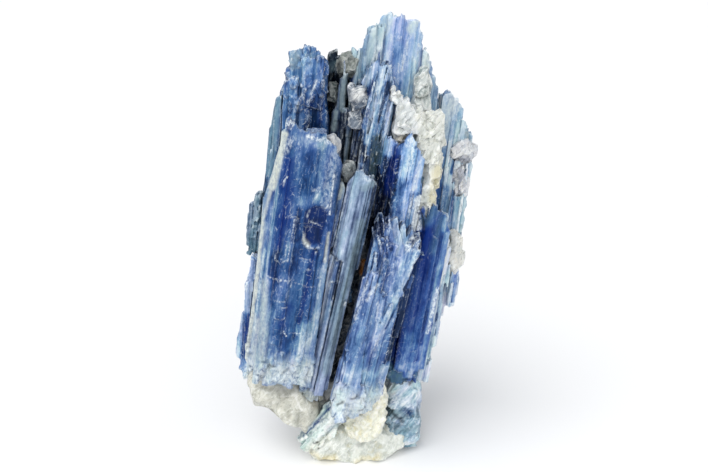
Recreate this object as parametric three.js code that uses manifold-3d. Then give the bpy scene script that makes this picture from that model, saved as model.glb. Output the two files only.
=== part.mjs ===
// Kyanite in quartz: a hand specimen of bladed blue kyanite crystals, grown side by side in white to
// smoky quartz. The blades all lean a little to the right and end in broken, splintery tips.
//
// Millimetres, +Z up, the front of the specimen towards -Y. The origin is on the surface that the
// specimen stands on, under the middle of its outline.
//
// A blade is modelled in a frame of its own: u across its face, d into its depth and w along its length,
// with the foot of the blade at the frame's origin. It is a row of flat-faced columns grown into each
// other, each with its own slanting broken tip. Quartz is made of angular lumps. The pieces are placed
// from the front of the specimen to the back, and each one is cut back from those placed before it, so
// that neighbours fit together with a hair of clearance.

import * as THREE from 'three';
import { ConvexGeometry } from 'three/addons/geometries/ConvexGeometry.js';
import { mergeVertices } from 'three/addons/utils/BufferGeometryUtils.js';
import Module from 'manifold-3d';

const wasm = await Module();
wasm.setup();

// Driving dimensions.
const HEIGHT = 108; // from the surface it stands on to the tip of the crest
const CLEARANCE = 0.3; // between neighbouring pieces
const OVERLAP = 0.15; // neighbouring columns of one blade run into each other by this much
const TIP_FALL = 0.4; // a broken tip falls away towards the back by this much, rise over run
const TIP_TILT = 0.3; // and by up to this much more or less
const REAR_DROP = 4; // the rear row of a blade ends up to this much lower than its front row
const REAR_DROP_LEAST = 0.3; // and at least this share of it
const REAR_STEP = 0.8; // steps between the columns at the back of a blade
const REAR_SHIFT = 0.5; // the columns of a rear row stand up to this much to a side
const REAR_TILT = 1; // and their tips slant sideways by up to this much more
const ROOT_STEP = 0.5; // unevenness of a blade's lower end
const LEDGE_SLANT = 0.3; // slant of a ledge's or a pit's ends, rise over run
const LEDGE_TWIST = 0.1; // the right side of a ledge stands out by up to this much more or less
const LEDGE_ROOTED = 0.4; // a ledge reaches into its blade by this share of the blade's thickness
const PIT_REACH = -20; // a pit is cut from here, well in front of the blade
const SHORTEST_EDGE = 0.01; // edges left shorter than this by the cuts are closed up

// Finishes.
const KYANITE_DEEP = { color: 0x24469a, roughness: 0.35, metalness: 0 };
const KYANITE_PALE = { color: 0x86a3cd, roughness: 0.45, metalness: 0 };
const KYANITE_GREY = { color: 0x6d88a5, roughness: 0.5, metalness: 0 };
const QUARTZ_WHITE = { color: 0xe8e4da, roughness: 0.3, metalness: 0 };
const QUARTZ_SMOKY = { color: 0xb9b0a6, roughness: 0.25, metalness: 0 };
const QUARTZ_CREAM = { color: 0xf0e6c2, roughness: 0.6, metalness: 0 };

// A repeatable random number generator, seeded by a piece's name.
function seeded(name) {
  let state = 1;
  for (const letter of name) {
    state = Math.imul(state ^ letter.charCodeAt(0), 0x9e3779b1) >>> 0;
  }
  return () => {
    state = (state + 0x6d2b79f5) >>> 0;
    let mixed = Math.imul(state ^ (state >>> 15), state | 1);
    mixed ^= mixed + Math.imul(mixed ^ (mixed >>> 7), mixed | 61);
    return ((mixed ^ (mixed >>> 14)) >>> 0) / 2 ** 32;
  };
}

// Between a closed mesh and a solid that can be joined and cut.
function solidOf(geometry) {
  const bare = new THREE.BufferGeometry();
  bare.setAttribute('position', geometry.getAttribute('position'));
  const merged = mergeVertices(bare, 1e-4);
  const mesh = new wasm.Mesh({
    numProp: 3,
    vertProperties: new Float32Array(merged.attributes.position.array),
    triVerts: new Uint32Array(merged.index.array),
  });
  return new wasm.Manifold(mesh);
}

function geometryOf(solid) {
  const mesh = solid.getMesh();
  const geometry = new THREE.BufferGeometry();
  geometry.setAttribute('position', new THREE.BufferAttribute(new Float32Array(mesh.vertProperties), 3));
  geometry.setIndex(new THREE.BufferAttribute(new Uint32Array(mesh.triVerts), 1));
  return geometry;
}

function joined(solids) {
  return solids.reduce((whole, solid) => whole.add(solid));
}

function largestBody(solid) {
  return solid.decompose().reduce((best, body) => (body.volume() > best.volume() ? body : best));
}

// Where a blade stands: its foot, its lean to the right, and its turn about its own length, in degrees.
function rotationOf({ lean = 0, turn = 0 }) {
  const angles = [0, lean, turn].map(THREE.MathUtils.degToRad);
  return new THREE.Euler(...angles, 'YXZ');
}

function poseOf(piece) {
  const foot = piece.foot ?? [0, 0, 0];
  return new THREE.Matrix4().makeRotationFromEuler(rotationOf(piece)).setPosition(...foot);
}

// A value that is the same at both sides of a column may be given once.
function pairOf(value) {
  return Array.isArray(value) ? value : [value, value];
}

// One column of a blade: the hull of its root and its tip over a four-sided section. front, tip and
// root are pairs, at its left and at its right side, and fall is how the tip drops from front to back,
// rise over run. A grown column has every one of its faces moved out by the same distance.
function column({ left, right, front, rear, root, tip, fall = 0, grow = 0 }) {
  const slope = ([start, end]) => (end - start) / (right - left);
  const faceAt = (u) => front[0] + slope(front) * (u - left) - grow * Math.hypot(1, slope(front));
  const rootAt = (u) => root[0] + slope(root) * (u - left) - grow * Math.hypot(1, slope(root));
  const tipAt = (u, d) => {
    const height = tip[0] + slope(tip) * (u - left) - fall * (d - front[0]);
    return height + grow * Math.hypot(1, slope(tip), fall);
  };
  const points = [];
  for (const u of [left - grow, right + grow]) {
    for (const d of [faceAt(u), rear + grow]) {
      points.push(new THREE.Vector3(u, d, rootAt(u)), new THREE.Vector3(u, d, tipAt(u, d)));
    }
  }
  return solidOf(new ConvexGeometry(points));
}

// A blade. left is where its first column starts, and each column is
// [width, front, root, tip at its left, tip at its right], with front the depth of its face, or a pair of
// depths where the face is turned. ledges are thin plates on the face, as [left, width, front, root, tip]
// with tips of their own, and pits are shallow steps cut into it, as [left, width, front, from, to].
function blade(piece, grow = 0) {
  const { left, columns, thick, ledges = [], pits = [], rows = 1 } = piece;
  const random = seeded(piece.name);
  const uneven = (size) => size * (random() * 2 - 1);
  const parts = [];
  let edge = left;
  for (const [width, face, root, leftTip, rightTip] of columns) {
    for (let row = 0; row < rows; row++) {
      const drop = row * REAR_DROP * (REAR_DROP_LEAST + (1 - REAR_DROP_LEAST) * random());
      const start = edge + row * uneven(REAR_SHIFT);
      const rowFace = (thick * row) / rows - OVERLAP;
      parts.push(
        column({
          left: start - OVERLAP,
          right: start + width + OVERLAP,
          front: row ? [rowFace, rowFace] : pairOf(face),
          rear: (thick * (row + 1)) / rows + random() * REAR_STEP,
          root: [root + uneven(ROOT_STEP), root + uneven(ROOT_STEP)],
          tip: [leftTip - drop, rightTip - drop + row * uneven(REAR_TILT)],
          fall: TIP_FALL + uneven(TIP_TILT),
          grow,
        }),
      );
    }
    edge += width;
  }
  for (const [start, width, depth, root, tip] of ledges) {
    const slant = uneven(LEDGE_SLANT) * width;
    parts.push(
      column({
        left: start,
        right: start + width,
        front: [depth, depth + uneven(LEDGE_TWIST)],
        rear: thick * LEDGE_ROOTED,
        root: [root - slant, root + slant],
        tip: [tip + slant, tip - slant],
        fall: TIP_FALL,
        grow,
      }),
    );
  }
  let whole = joined(parts);
  for (const [start, width, depth, from, to] of grow ? [] : pits) {
    const slant = uneven(LEDGE_SLANT);
    const step = column({
      left: start,
      right: start + width,
      front: [PIT_REACH, PIT_REACH],
      rear: depth,
      root: [from + slant, from - slant],
      tip: [to + slant, to - slant],
    });
    whole = whole.subtract(step);
  }
  return whole.transform(poseOf(piece).elements);
}

// Angular quartz: lumps as [x, y, z, half width, half depth, half height], each the hull of points
// spread over an ellipsoid along a spiral.
const LUMP_CORNERS = 20;
const SPIRAL_STEP = 2.4; // radians from one corner to the next
const SPIRAL_JITTER = 0.9; // and up to this much more
const LEAST_REACH = 0.86; // a corner's distance from the middle, as a share of the lump's half sizes
const REACH_RANGE = 0.22; // and up to this much more
function rock(piece, grow = 0) {
  const random = seeded(piece.name);
  const lumps = piece.lumps.map(([x, y, z, halfX, halfY, halfZ]) => {
    const points = [];
    for (let i = 0; i < LUMP_CORNERS; i++) {
      const height = 1 - (2 * (i + 0.5)) / LUMP_CORNERS;
      const ring = Math.sqrt(1 - height ** 2);
      const angle = i * SPIRAL_STEP + random() * SPIRAL_JITTER;
      const reach = LEAST_REACH + REACH_RANGE * random();
      points.push(
        new THREE.Vector3(
          (halfX * reach + grow) * ring * Math.cos(angle),
          (halfY * reach + grow) * ring * Math.sin(angle),
          (halfZ * reach + grow) * height,
        ).add(new THREE.Vector3(x, y, z)),
      );
    }
    return solidOf(new ConvexGeometry(points));
  });
  return joined(lumps).transform(poseOf(piece).elements);
}

// The kyanite at the front of the specimen.
const FRONT_BLADES = [
  {
    name: 'foot_flake', finish: KYANITE_DEEP,
    foot: [-12.6, -12.4, 6], lean: 38, thick: 2.4, left: -1.4,
    columns: [[1.3, -0.8, 0, 15, 17], [1.7, -1.8, -1, 18.6, 17.4], [1.7, -1.2, 0.4, 15, 12]],
  },
  {
    name: 'lower_centre_blades', finish: KYANITE_PALE,
    foot: [0, -13, 12], lean: 12, thick: 3, left: -6,
    columns: [
      [1.4, -0.4, 8, 54.5, 55], [1.4, -1, 7, 54.8, 53.4], [1.5, -1.6, 6, 53.8, 55.2],
      [1.6, -2, 6, 54.6, 52.6], [1.4, -2.2, 7, 52.2, 53.4], [1.6, -1.8, 8, 53.8, 52.4],
      [1.5, [-1.4, -0.8], 9, 52.2, 50.8],
    ],
    ledges: [
      [-6, 2.2, -3, 6, 50], [-3.8, 2.2, -3.5, 5, 49], [-1.6, 2.2, -3.2, 6, 47.8], [0.6, 2, -2.8, 7, 49.6],
      [-6.5, 1.8, -4.4, 4.5, 40.4], [-4.7, 2.1, -4.9, 5, 41],
      [-2.6, 2, -4.5, 6.5, 36], [-0.6, 1.8, -4, 7, 42.4],
    ],
  },
  {
    name: 'middle_blade', finish: KYANITE_GREY,
    foot: [-9, -11, 20], lean: 12, turn: 4, thick: 2.6, left: -3.8,
    columns: [
      [1.2, -2.5, 36.5, 54.6, 57.2], [1.3, -3.2, 36.2, 57.4, 58], [1, -3.4, 36, 57.6, 56.8],
      [1.1, -3.6, 1, 56.6, 56.4], [0.8, -3.2, 2, 56.2, 56], [0.9, -2.4, 34, 55.6, 54.8],
    ],
    ledges: [[-1.2, 1, -3, 0, 50], [-0.4, 0.8, -3.9, 6, 55]],
  },
  {
    name: 'front_left_blade', finish: KYANITE_DEEP,
    foot: [-18, -12, 20], lean: 8.5, turn: 3, thick: 7, left: -9.2,
    columns: [
      [2.2, [-1.4, -3.6], 8, 50, 63.2], [2.3, -4, 5, 65.6, 67.8], [3, -4.2, 4, 67.2, 66],
      [3.6, -4.1, 4.5, 65.7, 66.3], [2.6, -3.9, 5, 65.6, 63.4], [1.9, [-3.6, -3.2], 4, 62.8, 60.8],
    ],
    ledges: [
      [-6.6, 1.6, -4.6, 8, 60], [-3.8, 2.3, -4.8, 22, 47], [1.6, 2.2, -4.6, 12, 35],
      [-1.2, 2.4, -4.5, 46, 64],
    ],
    pits: [[-0.6, 4.4, -3.6, 37, 45], [-4.6, 3, -3.8, 9, 15]],
  },
  {
    name: 'upper_centre_blade', finish: KYANITE_PALE,
    foot: [7.5, -7, 44], lean: 8, thick: 3, left: -6.2,
    columns: [
      [1.5, [1.2, -0.4], -20, 35.4, 37.8], [1.6, [-0.4, -1.8], -22, 38, 37], [1.4, -2.2, -22, 36.8, 36.2],
      [1.2, -2.7, -22, 38.6, 41], [1.2, -2.4, -20, 40, 38.4], [1.4, -2, -20, 37.8, 36.4],
      [1.2, -1.4, -18, 35.4, 34.6], [0.8, -0.4, -10, 30, 27],
    ],
    ledges: [[-3, 1.1, -3, -10, 34], [0.2, 1.2, -2.9, -10, 37]],
  },
];

// The kyanite behind them, from front to back.
const INNER_BLADES = [
  {
    name: 'right_deep_blade', finish: KYANITE_DEEP,
    foot: [11, -7, 20], lean: 8, thick: 4, left: -4.4,
    columns: [
      [2.5, [-0.2, -1.2], 1, 43.6, 46], [2.5, [-1.2, -1.8], 0, 46.2, 47.2], [2.2, [-1.8, -1], 1, 47, 46],
      [1.5, [-0.6, 0.2], 1.6, 45.6, 44.8], [1.4, 0.8, 4, 43.6, 41],
    ],
    ledges: [[-2, 2.2, -2.2, 4, 34], [1.4, 1.6, -1.9, 10, 40]],
  },
  {
    name: 'middle_splinters', finish: KYANITE_GREY,
    foot: [-13, -10, 19], lean: 11, thick: 2.6, left: -1.5,
    columns: [
      [1.1, -2.4, 36, 53.6, 55.4], [1.1, -3.4, 2, 56.4, 53.4], [1.1, -2.8, 1, 50, 52.4],
      [1, -3.6, 0, 40, 38], [0.9, -3, 0, 36, 37],
    ],
  },
  {
    name: 'right_strip_blades', finish: KYANITE_GREY,
    foot: [18.5, -3, 26], lean: 7, thick: 3, left: -2.2,
    columns: [[1.3, -1.6, -8, 38, 37], [1.2, -1.2, -1, 33, 31], [1.3, -0.6, 2, 25.4, 24]],
    ledges: [[-2.4, 1.7, -2.2, -8, -0.6]],
  },
  {
    name: 'left_low_blade', finish: KYANITE_DEEP,
    foot: [-27.5, -6, 17], lean: 4, thick: 3, left: -2.3,
    columns: [
      [1.2, [-0.2, -1.2], 9.4, 14.6, 19], [0.9, -1.6, 6.8, 21.4, 24], [1.1, -2, 4.6, 29, 35.6],
      [1.5, -1.6, 2, 37.4, 36],
    ],
  },
  {
    name: 'left_edge_crystal', finish: KYANITE_GREY,
    foot: [-25, -4, 52], lean: 8, thick: 2, left: -1.1,
    columns: [[0.9, -0.5, 3.6, 12.6, 15], [1.1, -1.2, 1.8, 16.4, 16], [1, -0.8, 2.4, 14, 12]],
  },
  {
    name: 'centre_cluster', finish: KYANITE_PALE,
    foot: [0, -3, 48], lean: 8, thick: 3.4, left: -4.6,
    columns: [
      [0.9, 0, -16, 46, 48.4], [0.9, -1.5, -15, 49.2, 50.4], [1.1, -2.4, -13, 50.8, 52],
      [0.8, -1, -13, 51, 50.2], [1.2, -2.6, -10, 50.2, 50.6], [1, -1.6, -8, 50.4, 49.6],
      [1, -2.2, -9, 49.4, 46.8], [0.9, -0.8, -11, 44, 41.6],
    ],
    ledges: [[-3, 0.8, -3.6, -8, 41], [-0.2, 0.8, -3.4, -6, 36]],
  },
  {
    name: 'back_left_blade', finish: KYANITE_DEEP,
    foot: [-15, -1, 26], lean: 4.5, thick: 4, left: -6.7,
    columns: [
      [1.1, [-0.6, -1.4], -2, 65.4, 68.6], [0.9, -1.8, -4, 70.8, 71.6], [1.2, -2.4, -5, 74.2, 74.8],
      [1.3, -2.1, -6, 74.6, 75], [1.4, -2.5, -6, 75.8, 76.2], [1.2, -2.2, -6, 76, 75.2],
      [1.2, -1.9, -6, 75.6, 74.8], [1.7, -2.2, -5, 74.5, 73.4],
      [1, -1.6, -4, 66, 60], [0.8, -1, -4, 58, 53],
    ],
    ledges: [[-5.9, 3, -3.6, 10, 69], [-2, 4.6, -3.2, 63, 73.6], [-1.6, 4, -2.9, 0, 50]],
  },
  {
    name: 'left_rim_blades', finish: KYANITE_GREY,
    foot: [-22, -2, 26], lean: 6.5, thick: 4, left: -4.6,
    columns: [
      [0.8, 0.2, 8, 36, 52], [0.9, -1, 5, 56, 63],
      [1.2, -1.7, 2, 64.6, 66], [1.6, -1.4, 0, 67, 68],
    ],
  },
  {
    name: 'slot_blades', finish: KYANITE_GREY,
    foot: [-4, 0, 50], lean: 6, thick: 3, left: -5.6,
    columns: [
      [0.8, 1, -24, 30, 31], [0.8, -1, -24, 37, 38.2],
      [0.8, 1.4, -24, 33, 31], [0.8, -1.4, -24, 44.6, 46],
      [1.2, 0.8, -24, 33, 34], [0.8, -1.2, -24, 38, 36.4],
      [1, 0.4, -24, 42, 43.6], [0.9, -0.8, -24, 44, 45.4],
    ],
  },
  {
    name: 'slot_rear_blade', finish: KYANITE_GREY,
    foot: [-5, 4, 50], lean: 6, thick: 3, left: -2.4,
    columns: [[1.6, 0, -28, 46.4, 47.2], [1.6, -0.4, -28, 47.6, 46.8], [1.8, 0, -28, 46, 45.4]],
  },
  {
    name: 'crest_shoulder', finish: KYANITE_GREY,
    foot: [1, 2, 62], lean: 5, thick: 4, left: -4.5,
    columns: [
      [1.2, -1, -36, 37.2, 38.6], [1.1, -1.6, -36, 38.8, 39.6], [1.2, -2.1, -36, 41.6, 43.4],
      [1.2, -2.5, -36, 43.6, 44.2], [1.5, -2, -36, 44.2, 43.6],
    ],
  },
  {
    name: 'crest_blade', finish: KYANITE_PALE,
    foot: [8, 3, 60], lean: 5.5, thick: 4, left: -6.4, rows: 2,
    columns: [
      [1.6, -1.8, -36, 47.4, 48.2], [1.8, -2.4, -36, 48, 47.6], [1.4, -2.9, -36, 47.6, 48.4],
      [1.2, -2.4, -36, 48, 46.8], [1.6, -2.2, -34, 47.2, 47.6], [1.2, -1.7, -34, 47.2, 45.2],
      [1.3, [-1.4, -0.6], -34, 44.6, 40.8],
    ],
  },
  {
    name: 'crest_right_blades', finish: KYANITE_GREY,
    foot: [14, 3, 50], lean: 5, thick: 4, left: -2.6,
    columns: [
      [1.1, -1.6, -26, 51, 49.4], [1, -2, -26, 48.6, 46.8], [1, -1.5, -26, 45.8, 44.4],
      [1, -1.2, -26, 43.4, 42], [1, -0.6, -24, 41, 37],
    ],
  },
  {
    name: 'right_inner_blade', finish: KYANITE_GREY,
    foot: [15, 3, 40], lean: 6, thick: 4, left: -1.2,
    columns: [
      [1.6, -1.4, -18, 44, 46], [1.7, -2, -18, 50.6, 51.2],
      [1.7, -1.7, -18, 50.6, 50], [1.6, -1.2, -16, 49.6, 48],
    ],
  },
  {
    name: 'right_outer_blades', finish: KYANITE_GREY,
    foot: [21, 4, 36], lean: 5, thick: 4, left: -1.8, rows: 2,
    columns: [
      [1.5, -2.3, 2, 50.6, 49.8], [1.5, -2.8, 3, 49.2, 47.8], [1.4, -2.2, 4, 46.6, 45],
      [1.4, [-1.6, -1], 6, 44.2, 41.2], [1, -0.4, 9, 38, 33],
    ],
  },
  {
    name: 'right_edge_blade', finish: KYANITE_DEEP,
    foot: [22.5, -1, 33], lean: 10, thick: 3, left: -2,
    columns: [[1, -0.6, 2.4, 14, 15.6], [1.1, -1.2, 5, 16.2, 16.6], [0.8, -0.6, 8, 15.4, 13]],
  },
];

// The back of the specimen: four broad bundles of blades in two rows, of uneven width and height.
const REAR_COLUMN = 1.8; // a column is at least this wide
const REAR_COLUMN_RANGE = 1.6; // and up to this much wider
const REAR_FACE_STEP = 2; // steps between the columns of the first row
const REAR_ROOT_STEP = 5; // and between their lower ends
const REAR_TIP_STEP = 4; // and between their tips
const REAR_ARCH = 0.22; // the outermost columns of a bundle are lower by this share of its height
const REAR_BUNDLES = [
  { name: 'rear_left_blades', finish: KYANITE_GREY, foot: [-14, 4, 18], lean: 7, turn: 14, thick: 7 },
  { name: 'rear_middle_blades', finish: KYANITE_DEEP, foot: [-1, 8, 10], lean: 8, turn: -6, thick: 9 },
  { name: 'rear_right_blades', finish: KYANITE_PALE, foot: [9.6, 7, 16], lean: 10, turn: -12, thick: 8 },
  { name: 'rear_low_blades', finish: KYANITE_GREY, foot: [-9, 11, 14], lean: 3, turn: 10, thick: 5 },
];
const REAR_WIDTHS = [15, 13, 12, 9];
const REAR_HEIGHTS = [74, 86, 68, 44];
const REAR_BLADES = REAR_BUNDLES.map((bundle, i) => {
  const random = seeded(bundle.name);
  const columns = [];
  const left = -REAR_WIDTHS[i] / 2;
  for (let edge = left; edge < -left; edge += columns.at(-1)[0]) {
    const arch = REAR_HEIGHTS[i] * (1 - REAR_ARCH * (edge / left) ** 2);
    const width = REAR_COLUMN + REAR_COLUMN_RANGE * random();
    const face = REAR_FACE_STEP * random();
    const root = REAR_ROOT_STEP * random();
    columns.push([width, face, root, arch - REAR_TIP_STEP * random(), arch - REAR_TIP_STEP * random()]);
  }
  return { ...bundle, left, columns, rows: 2 };
});

// The quartz between the blades and under them, and the rough mass of fine kyanite at the foot.
const UPPER_ROCKS = [
  {
    name: 'front_quartz_crust', finish: QUARTZ_SMOKY,
    lumps: [[-7.6, -12.6, 83.4, 2.4, 2.4, 2], [-5, -12.6, 81.6, 1.9, 2.2, 2.2]],
  },
  { name: 'middle_quartz_grain', finish: QUARTZ_SMOKY, lumps: [[-1.3, -10.6, 75.4, 1.5, 1.8, 2.5]] },
  {
    name: 'upper_quartz', finish: QUARTZ_WHITE,
    lumps: [[12.2, -5, 85.6, 2.7, 3, 3.9], [10.8, -5, 83.4, 1.8, 2.4, 2.6]],
  },
  {
    name: 'cream_quartz_vein', finish: QUARTZ_CREAM,
    lumps: [
      [17, -4, 82, 3.5, 3.4, 6], [18, -4.6, 75.6, 2.3, 2.6, 6.4], [17, -6.4, 67, 1.5, 2, 8],
      [14.4, -9, 61, 2.3, 2.2, 5.4],
    ],
  },
  {
    name: 'right_quartz', finish: QUARTZ_WHITE,
    lumps: [[26, 3, 76.6, 3.1, 3.4, 3.6], [25.4, 2.4, 70, 1.9, 2.4, 5]],
  },
  {
    name: 'right_low_quartz', finish: QUARTZ_CREAM,
    lumps: [[24.6, -0.6, 52, 2, 2.4, 6.4], [22.2, -1.6, 43, 1.4, 2, 8]],
  },
  {
    name: 'crest_quartz', finish: QUARTZ_WHITE,
    lumps: [[15.4, 0, 93, 1.9, 2.2, 3.2], [14.8, 0, 89, 1.4, 2, 2.8]],
  },
  {
    name: 'centre_quartz', finish: QUARTZ_WHITE,
    lumps: [[0.9, -3.4, 90.6, 2.1, 2, 2.8], [0.4, -2.8, 86.4, 1.5, 1.8, 3.4]],
  },
  { name: 'slot_quartz', finish: QUARTZ_SMOKY, lumps: [[-1.8, 1.6, 97.2, 2.2, 2.4, 2.7]] },
  { name: 'slot_low_quartz', finish: QUARTZ_SMOKY, lumps: [[-4.8, 1.2, 91, 1.5, 2, 2.4]] },
];
const LOWER_ROCKS = [
  {
    name: 'smoky_quartz', finish: QUARTZ_SMOKY,
    lumps: [
      [-19.4, -9, 19.8, 7, 6.6, 6.4], [-15.4, -9.6, 15, 6.8, 5.8, 6.8],
      [-11.8, -9, 11.4, 4, 4.6, 5],
    ],
  },
  {
    name: 'foot_mass', finish: KYANITE_GREY,
    lumps: [[13, -4.4, 8, 5.8, 6, 9], [12.6, -4.6, 15.4, 5.2, 5, 8]],
  },
  {
    name: 'cream_quartz_foot', finish: QUARTZ_CREAM,
    lumps: [[2.4, -11.4, 12, 5.8, 3.8, 6.8], [5.4, -10.4, 17.6, 2.9, 3.2, 4.8]],
  },
  {
    name: 'base_quartz', finish: QUARTZ_WHITE,
    lumps: [
      [-4, -7.6, 4.4, 9, 7.6, 7], [5, -6, 3.4, 9.4, 8.6, 6],
      [0, 4, 8, 13, 11, 12], [-7.6, -9, 10, 3.6, 4, 6],
    ],
  },
  {
    name: 'crevice_quartz', finish: QUARTZ_SMOKY,
    lumps: [[-4.4, -8, 19, 4, 3.8, 8], [-1.6, -7, 31, 4, 3.6, 11], [2, -5.6, 48, 3.4, 3.2, 16]],
  },
];

// Assembly: each piece is cut back from the ones placed before it, and stands at its own foot.
const pieces = new THREE.Group();
const placed = [];

function place(piece, build) {
  let solid = build(piece).trimByPlane([0, 0, 1], 0);
  const box = solid.boundingBox();
  for (const other of placed) {
    const near = [0, 1, 2].every((k) => box.min[k] < other.box.max[k] && other.box.min[k] < box.max[k]);
    if (near) solid = solid.subtract(other.cutter);
  }
  solid = largestBody(solid).simplify(SHORTEST_EDGE);
  const cutter = build(piece, CLEARANCE);
  placed.push({ cutter, box: cutter.boundingBox() });

  const pose = poseOf(piece);
  const geometry = geometryOf(solid).applyMatrix4(pose.clone().invert());
  const mesh = new THREE.Mesh(geometry, new THREE.MeshStandardMaterial(piece.finish));
  mesh.name = piece.name;
  mesh.applyMatrix4(pose);
  pieces.add(mesh);
}

FRONT_BLADES.forEach((piece) => place(piece, blade));
UPPER_ROCKS.forEach((piece) => place(piece, rock));
INNER_BLADES.forEach((piece) => place(piece, blade));
LOWER_ROCKS.forEach((piece) => place(piece, rock));
REAR_BLADES.forEach((piece) => place(piece, blade));

// Scaled to its height and centred over the origin.
const outline = new THREE.Box3().setFromObject(pieces, true);
const scale = HEIGHT / outline.max.z;
const middle = outline.getCenter(new THREE.Vector3());
pieces.scale.setScalar(scale);
pieces.position.set(-middle.x * scale, -middle.y * scale, 0);

const specimen = new THREE.Group();
specimen.add(pieces);
export default specimen;
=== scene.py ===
# %% [markdown]
# # Kyanite in quartz
# This notebook dresses a hand specimen: long blades of blue kyanite, grown side by side in quartz. The
# solids of the blades and of the quartz come in from the CAD model as a fixed frame, in metres, with +Z up
# and the front of the specimen towards -Y. The first step loads them.

import bpy
import bmesh
import itertools
import math
from collections import namedtuple
from functools import partial
from types import SimpleNamespace

import numpy as np
from mathutils import Euler, Matrix, Vector
from mathutils.bvhtree import BVHTree


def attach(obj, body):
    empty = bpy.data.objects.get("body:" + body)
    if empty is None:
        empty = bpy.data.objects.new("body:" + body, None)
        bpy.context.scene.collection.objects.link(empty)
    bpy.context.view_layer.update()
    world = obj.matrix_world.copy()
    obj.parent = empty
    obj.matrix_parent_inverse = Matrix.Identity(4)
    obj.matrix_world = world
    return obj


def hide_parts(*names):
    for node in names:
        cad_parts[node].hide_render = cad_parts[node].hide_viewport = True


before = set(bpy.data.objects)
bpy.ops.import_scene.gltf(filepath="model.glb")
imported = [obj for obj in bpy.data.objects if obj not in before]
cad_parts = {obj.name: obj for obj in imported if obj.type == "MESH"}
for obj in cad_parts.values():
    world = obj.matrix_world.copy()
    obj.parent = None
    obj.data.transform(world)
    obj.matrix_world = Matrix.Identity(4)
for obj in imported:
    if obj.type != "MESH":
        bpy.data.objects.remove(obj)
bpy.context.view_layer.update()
scene = bpy.context.scene
MM = 0.001

# %% [markdown]
# ## Camera
# A mineral is shown from a little above, from close by. Orthographic would lose the slight taper of
# perspective, so the camera is a normal one, aimed at a point halfway up the specimen.

# %% Camera
AIM_HEIGHT = 56.1 * MM
CAMERA_DISTANCE = 194.1 * MM
CAMERA_ELEVATION = math.radians(20)
LENS = 40.68  # the lens and the film width are in mm, as on a real camera
FILM_WIDTH = 36
camera_data = bpy.data.cameras.new("camera")
camera_data.lens = LENS
camera_data.sensor_width = FILM_WIDTH
camera_data.clip_start = 1 * MM
camera = bpy.data.objects.new("camera", camera_data)
camera.location = (
    0,
    -CAMERA_DISTANCE * math.cos(CAMERA_ELEVATION),
    AIM_HEIGHT + CAMERA_DISTANCE * math.sin(CAMERA_ELEVATION),
)
camera.rotation_euler = (math.pi / 2 - CAMERA_ELEVATION, 0, 0)
scene.collection.objects.link(camera)
scene.camera = camera
print("camera at", [round(v / MM) for v in camera.location], "mm")

# %% [markdown]
# ## Floor and light
# A plain pale floor and big soft lamps. A mineral's gloss shows the lamps themselves, so they are wide soft
# suns, with the brightest one high at the left, as in a light tent. The Standard view transform keeps white
# white.

# %% Floor
def give(node, inputs):
    """Gives a node's inputs, by name or number, a value or a link from another node's output."""
    for name, value in inputs.items():
        if isinstance(value, bpy.types.NodeSocket):
            node.id_data.links.new(value, node.inputs[name])
        else:
            node.inputs[name].default_value = value


def new_material(name):
    """A material with only a Principled shader, and that shader."""
    material = bpy.data.materials.new(name)
    material.use_nodes = True
    return material, material.node_tree.nodes["Principled BSDF"]


FLOOR_SIZE = 8.0
floor_mesh = bpy.data.meshes.new("floor")
floor_bm = bmesh.new()
bmesh.ops.create_grid(floor_bm, x_segments=1, y_segments=1, size=FLOOR_SIZE / 2)
floor_bm.to_mesh(floor_mesh)
floor_bm.free()
floor = bpy.data.objects.new("floor", floor_mesh)
floor_material, floor_shader = new_material("floor_paper")
give(floor_shader, {"Base Color": (0.9, 0.9, 0.905, 1), "Roughness": 0.8})
floor_mesh.materials.append(floor_material)
scene.collection.objects.link(floor)
print("floor", FLOOR_SIZE, "m square")

# %% Lights
scene.view_settings.view_transform = "Standard"
world = bpy.data.worlds.new("tent")
world.use_nodes = True
scene.world = world
give(world.node_tree.nodes["Background"], {"Color": (0.95, 0.975, 1.0, 1), "Strength": 0.48})


def soft_sun(name, turn, height, strength, spread):
    """A wide soft lamp, as far off as the sun. turn and height are in degrees; turn 0 is in front."""
    data = bpy.data.lights.new(name, "SUN")
    data.energy = strength
    data.angle = math.radians(spread)
    lamp = bpy.data.objects.new(name, data)
    lamp.rotation_euler = (math.radians(90 - height), 0, math.radians(turn))
    scene.collection.objects.link(lamp)
    return lamp


LAMPS = [
    soft_sun("lamp_left", -45, 56, 2.0, 50),
    soft_sun("lamp_front", 10, 28, 1.0, 60),
    soft_sun("lamp_right", 70, 35, 0.3, 60),
]
print("lamps:", [lamp.name for lamp in LAMPS])

# %% [markdown]
# ## Chance that repeats
# Natural surfaces need irregular patterns that are the same on every run. A hash of whole numbers gives a
# repeatable random value for each cell of a grid, and blending the values of neighbouring cells gives a
# smooth wave.

# %% Chance
MIXERS = (0x9E3779B1, 0x85EBCA6B)  # odd numbers that scatter the bits of what they multiply


def chance(seed, *cells):
    """A repeatable random number from 0 to 1 for each cell of whole numbers."""
    mixed = np.full(np.shape(cells[0]), seed * MIXERS[0] % 2**32, dtype=np.uint32)
    for cell in cells:
        mixed = (mixed ^ cell.astype(np.int64).astype(np.uint32)) * np.uint32(MIXERS[0])
        mixed = (mixed ^ (mixed >> 15)) * np.uint32(MIXERS[1])
        mixed = mixed ^ (mixed >> 13)
    return mixed / 2.0**32


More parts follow.
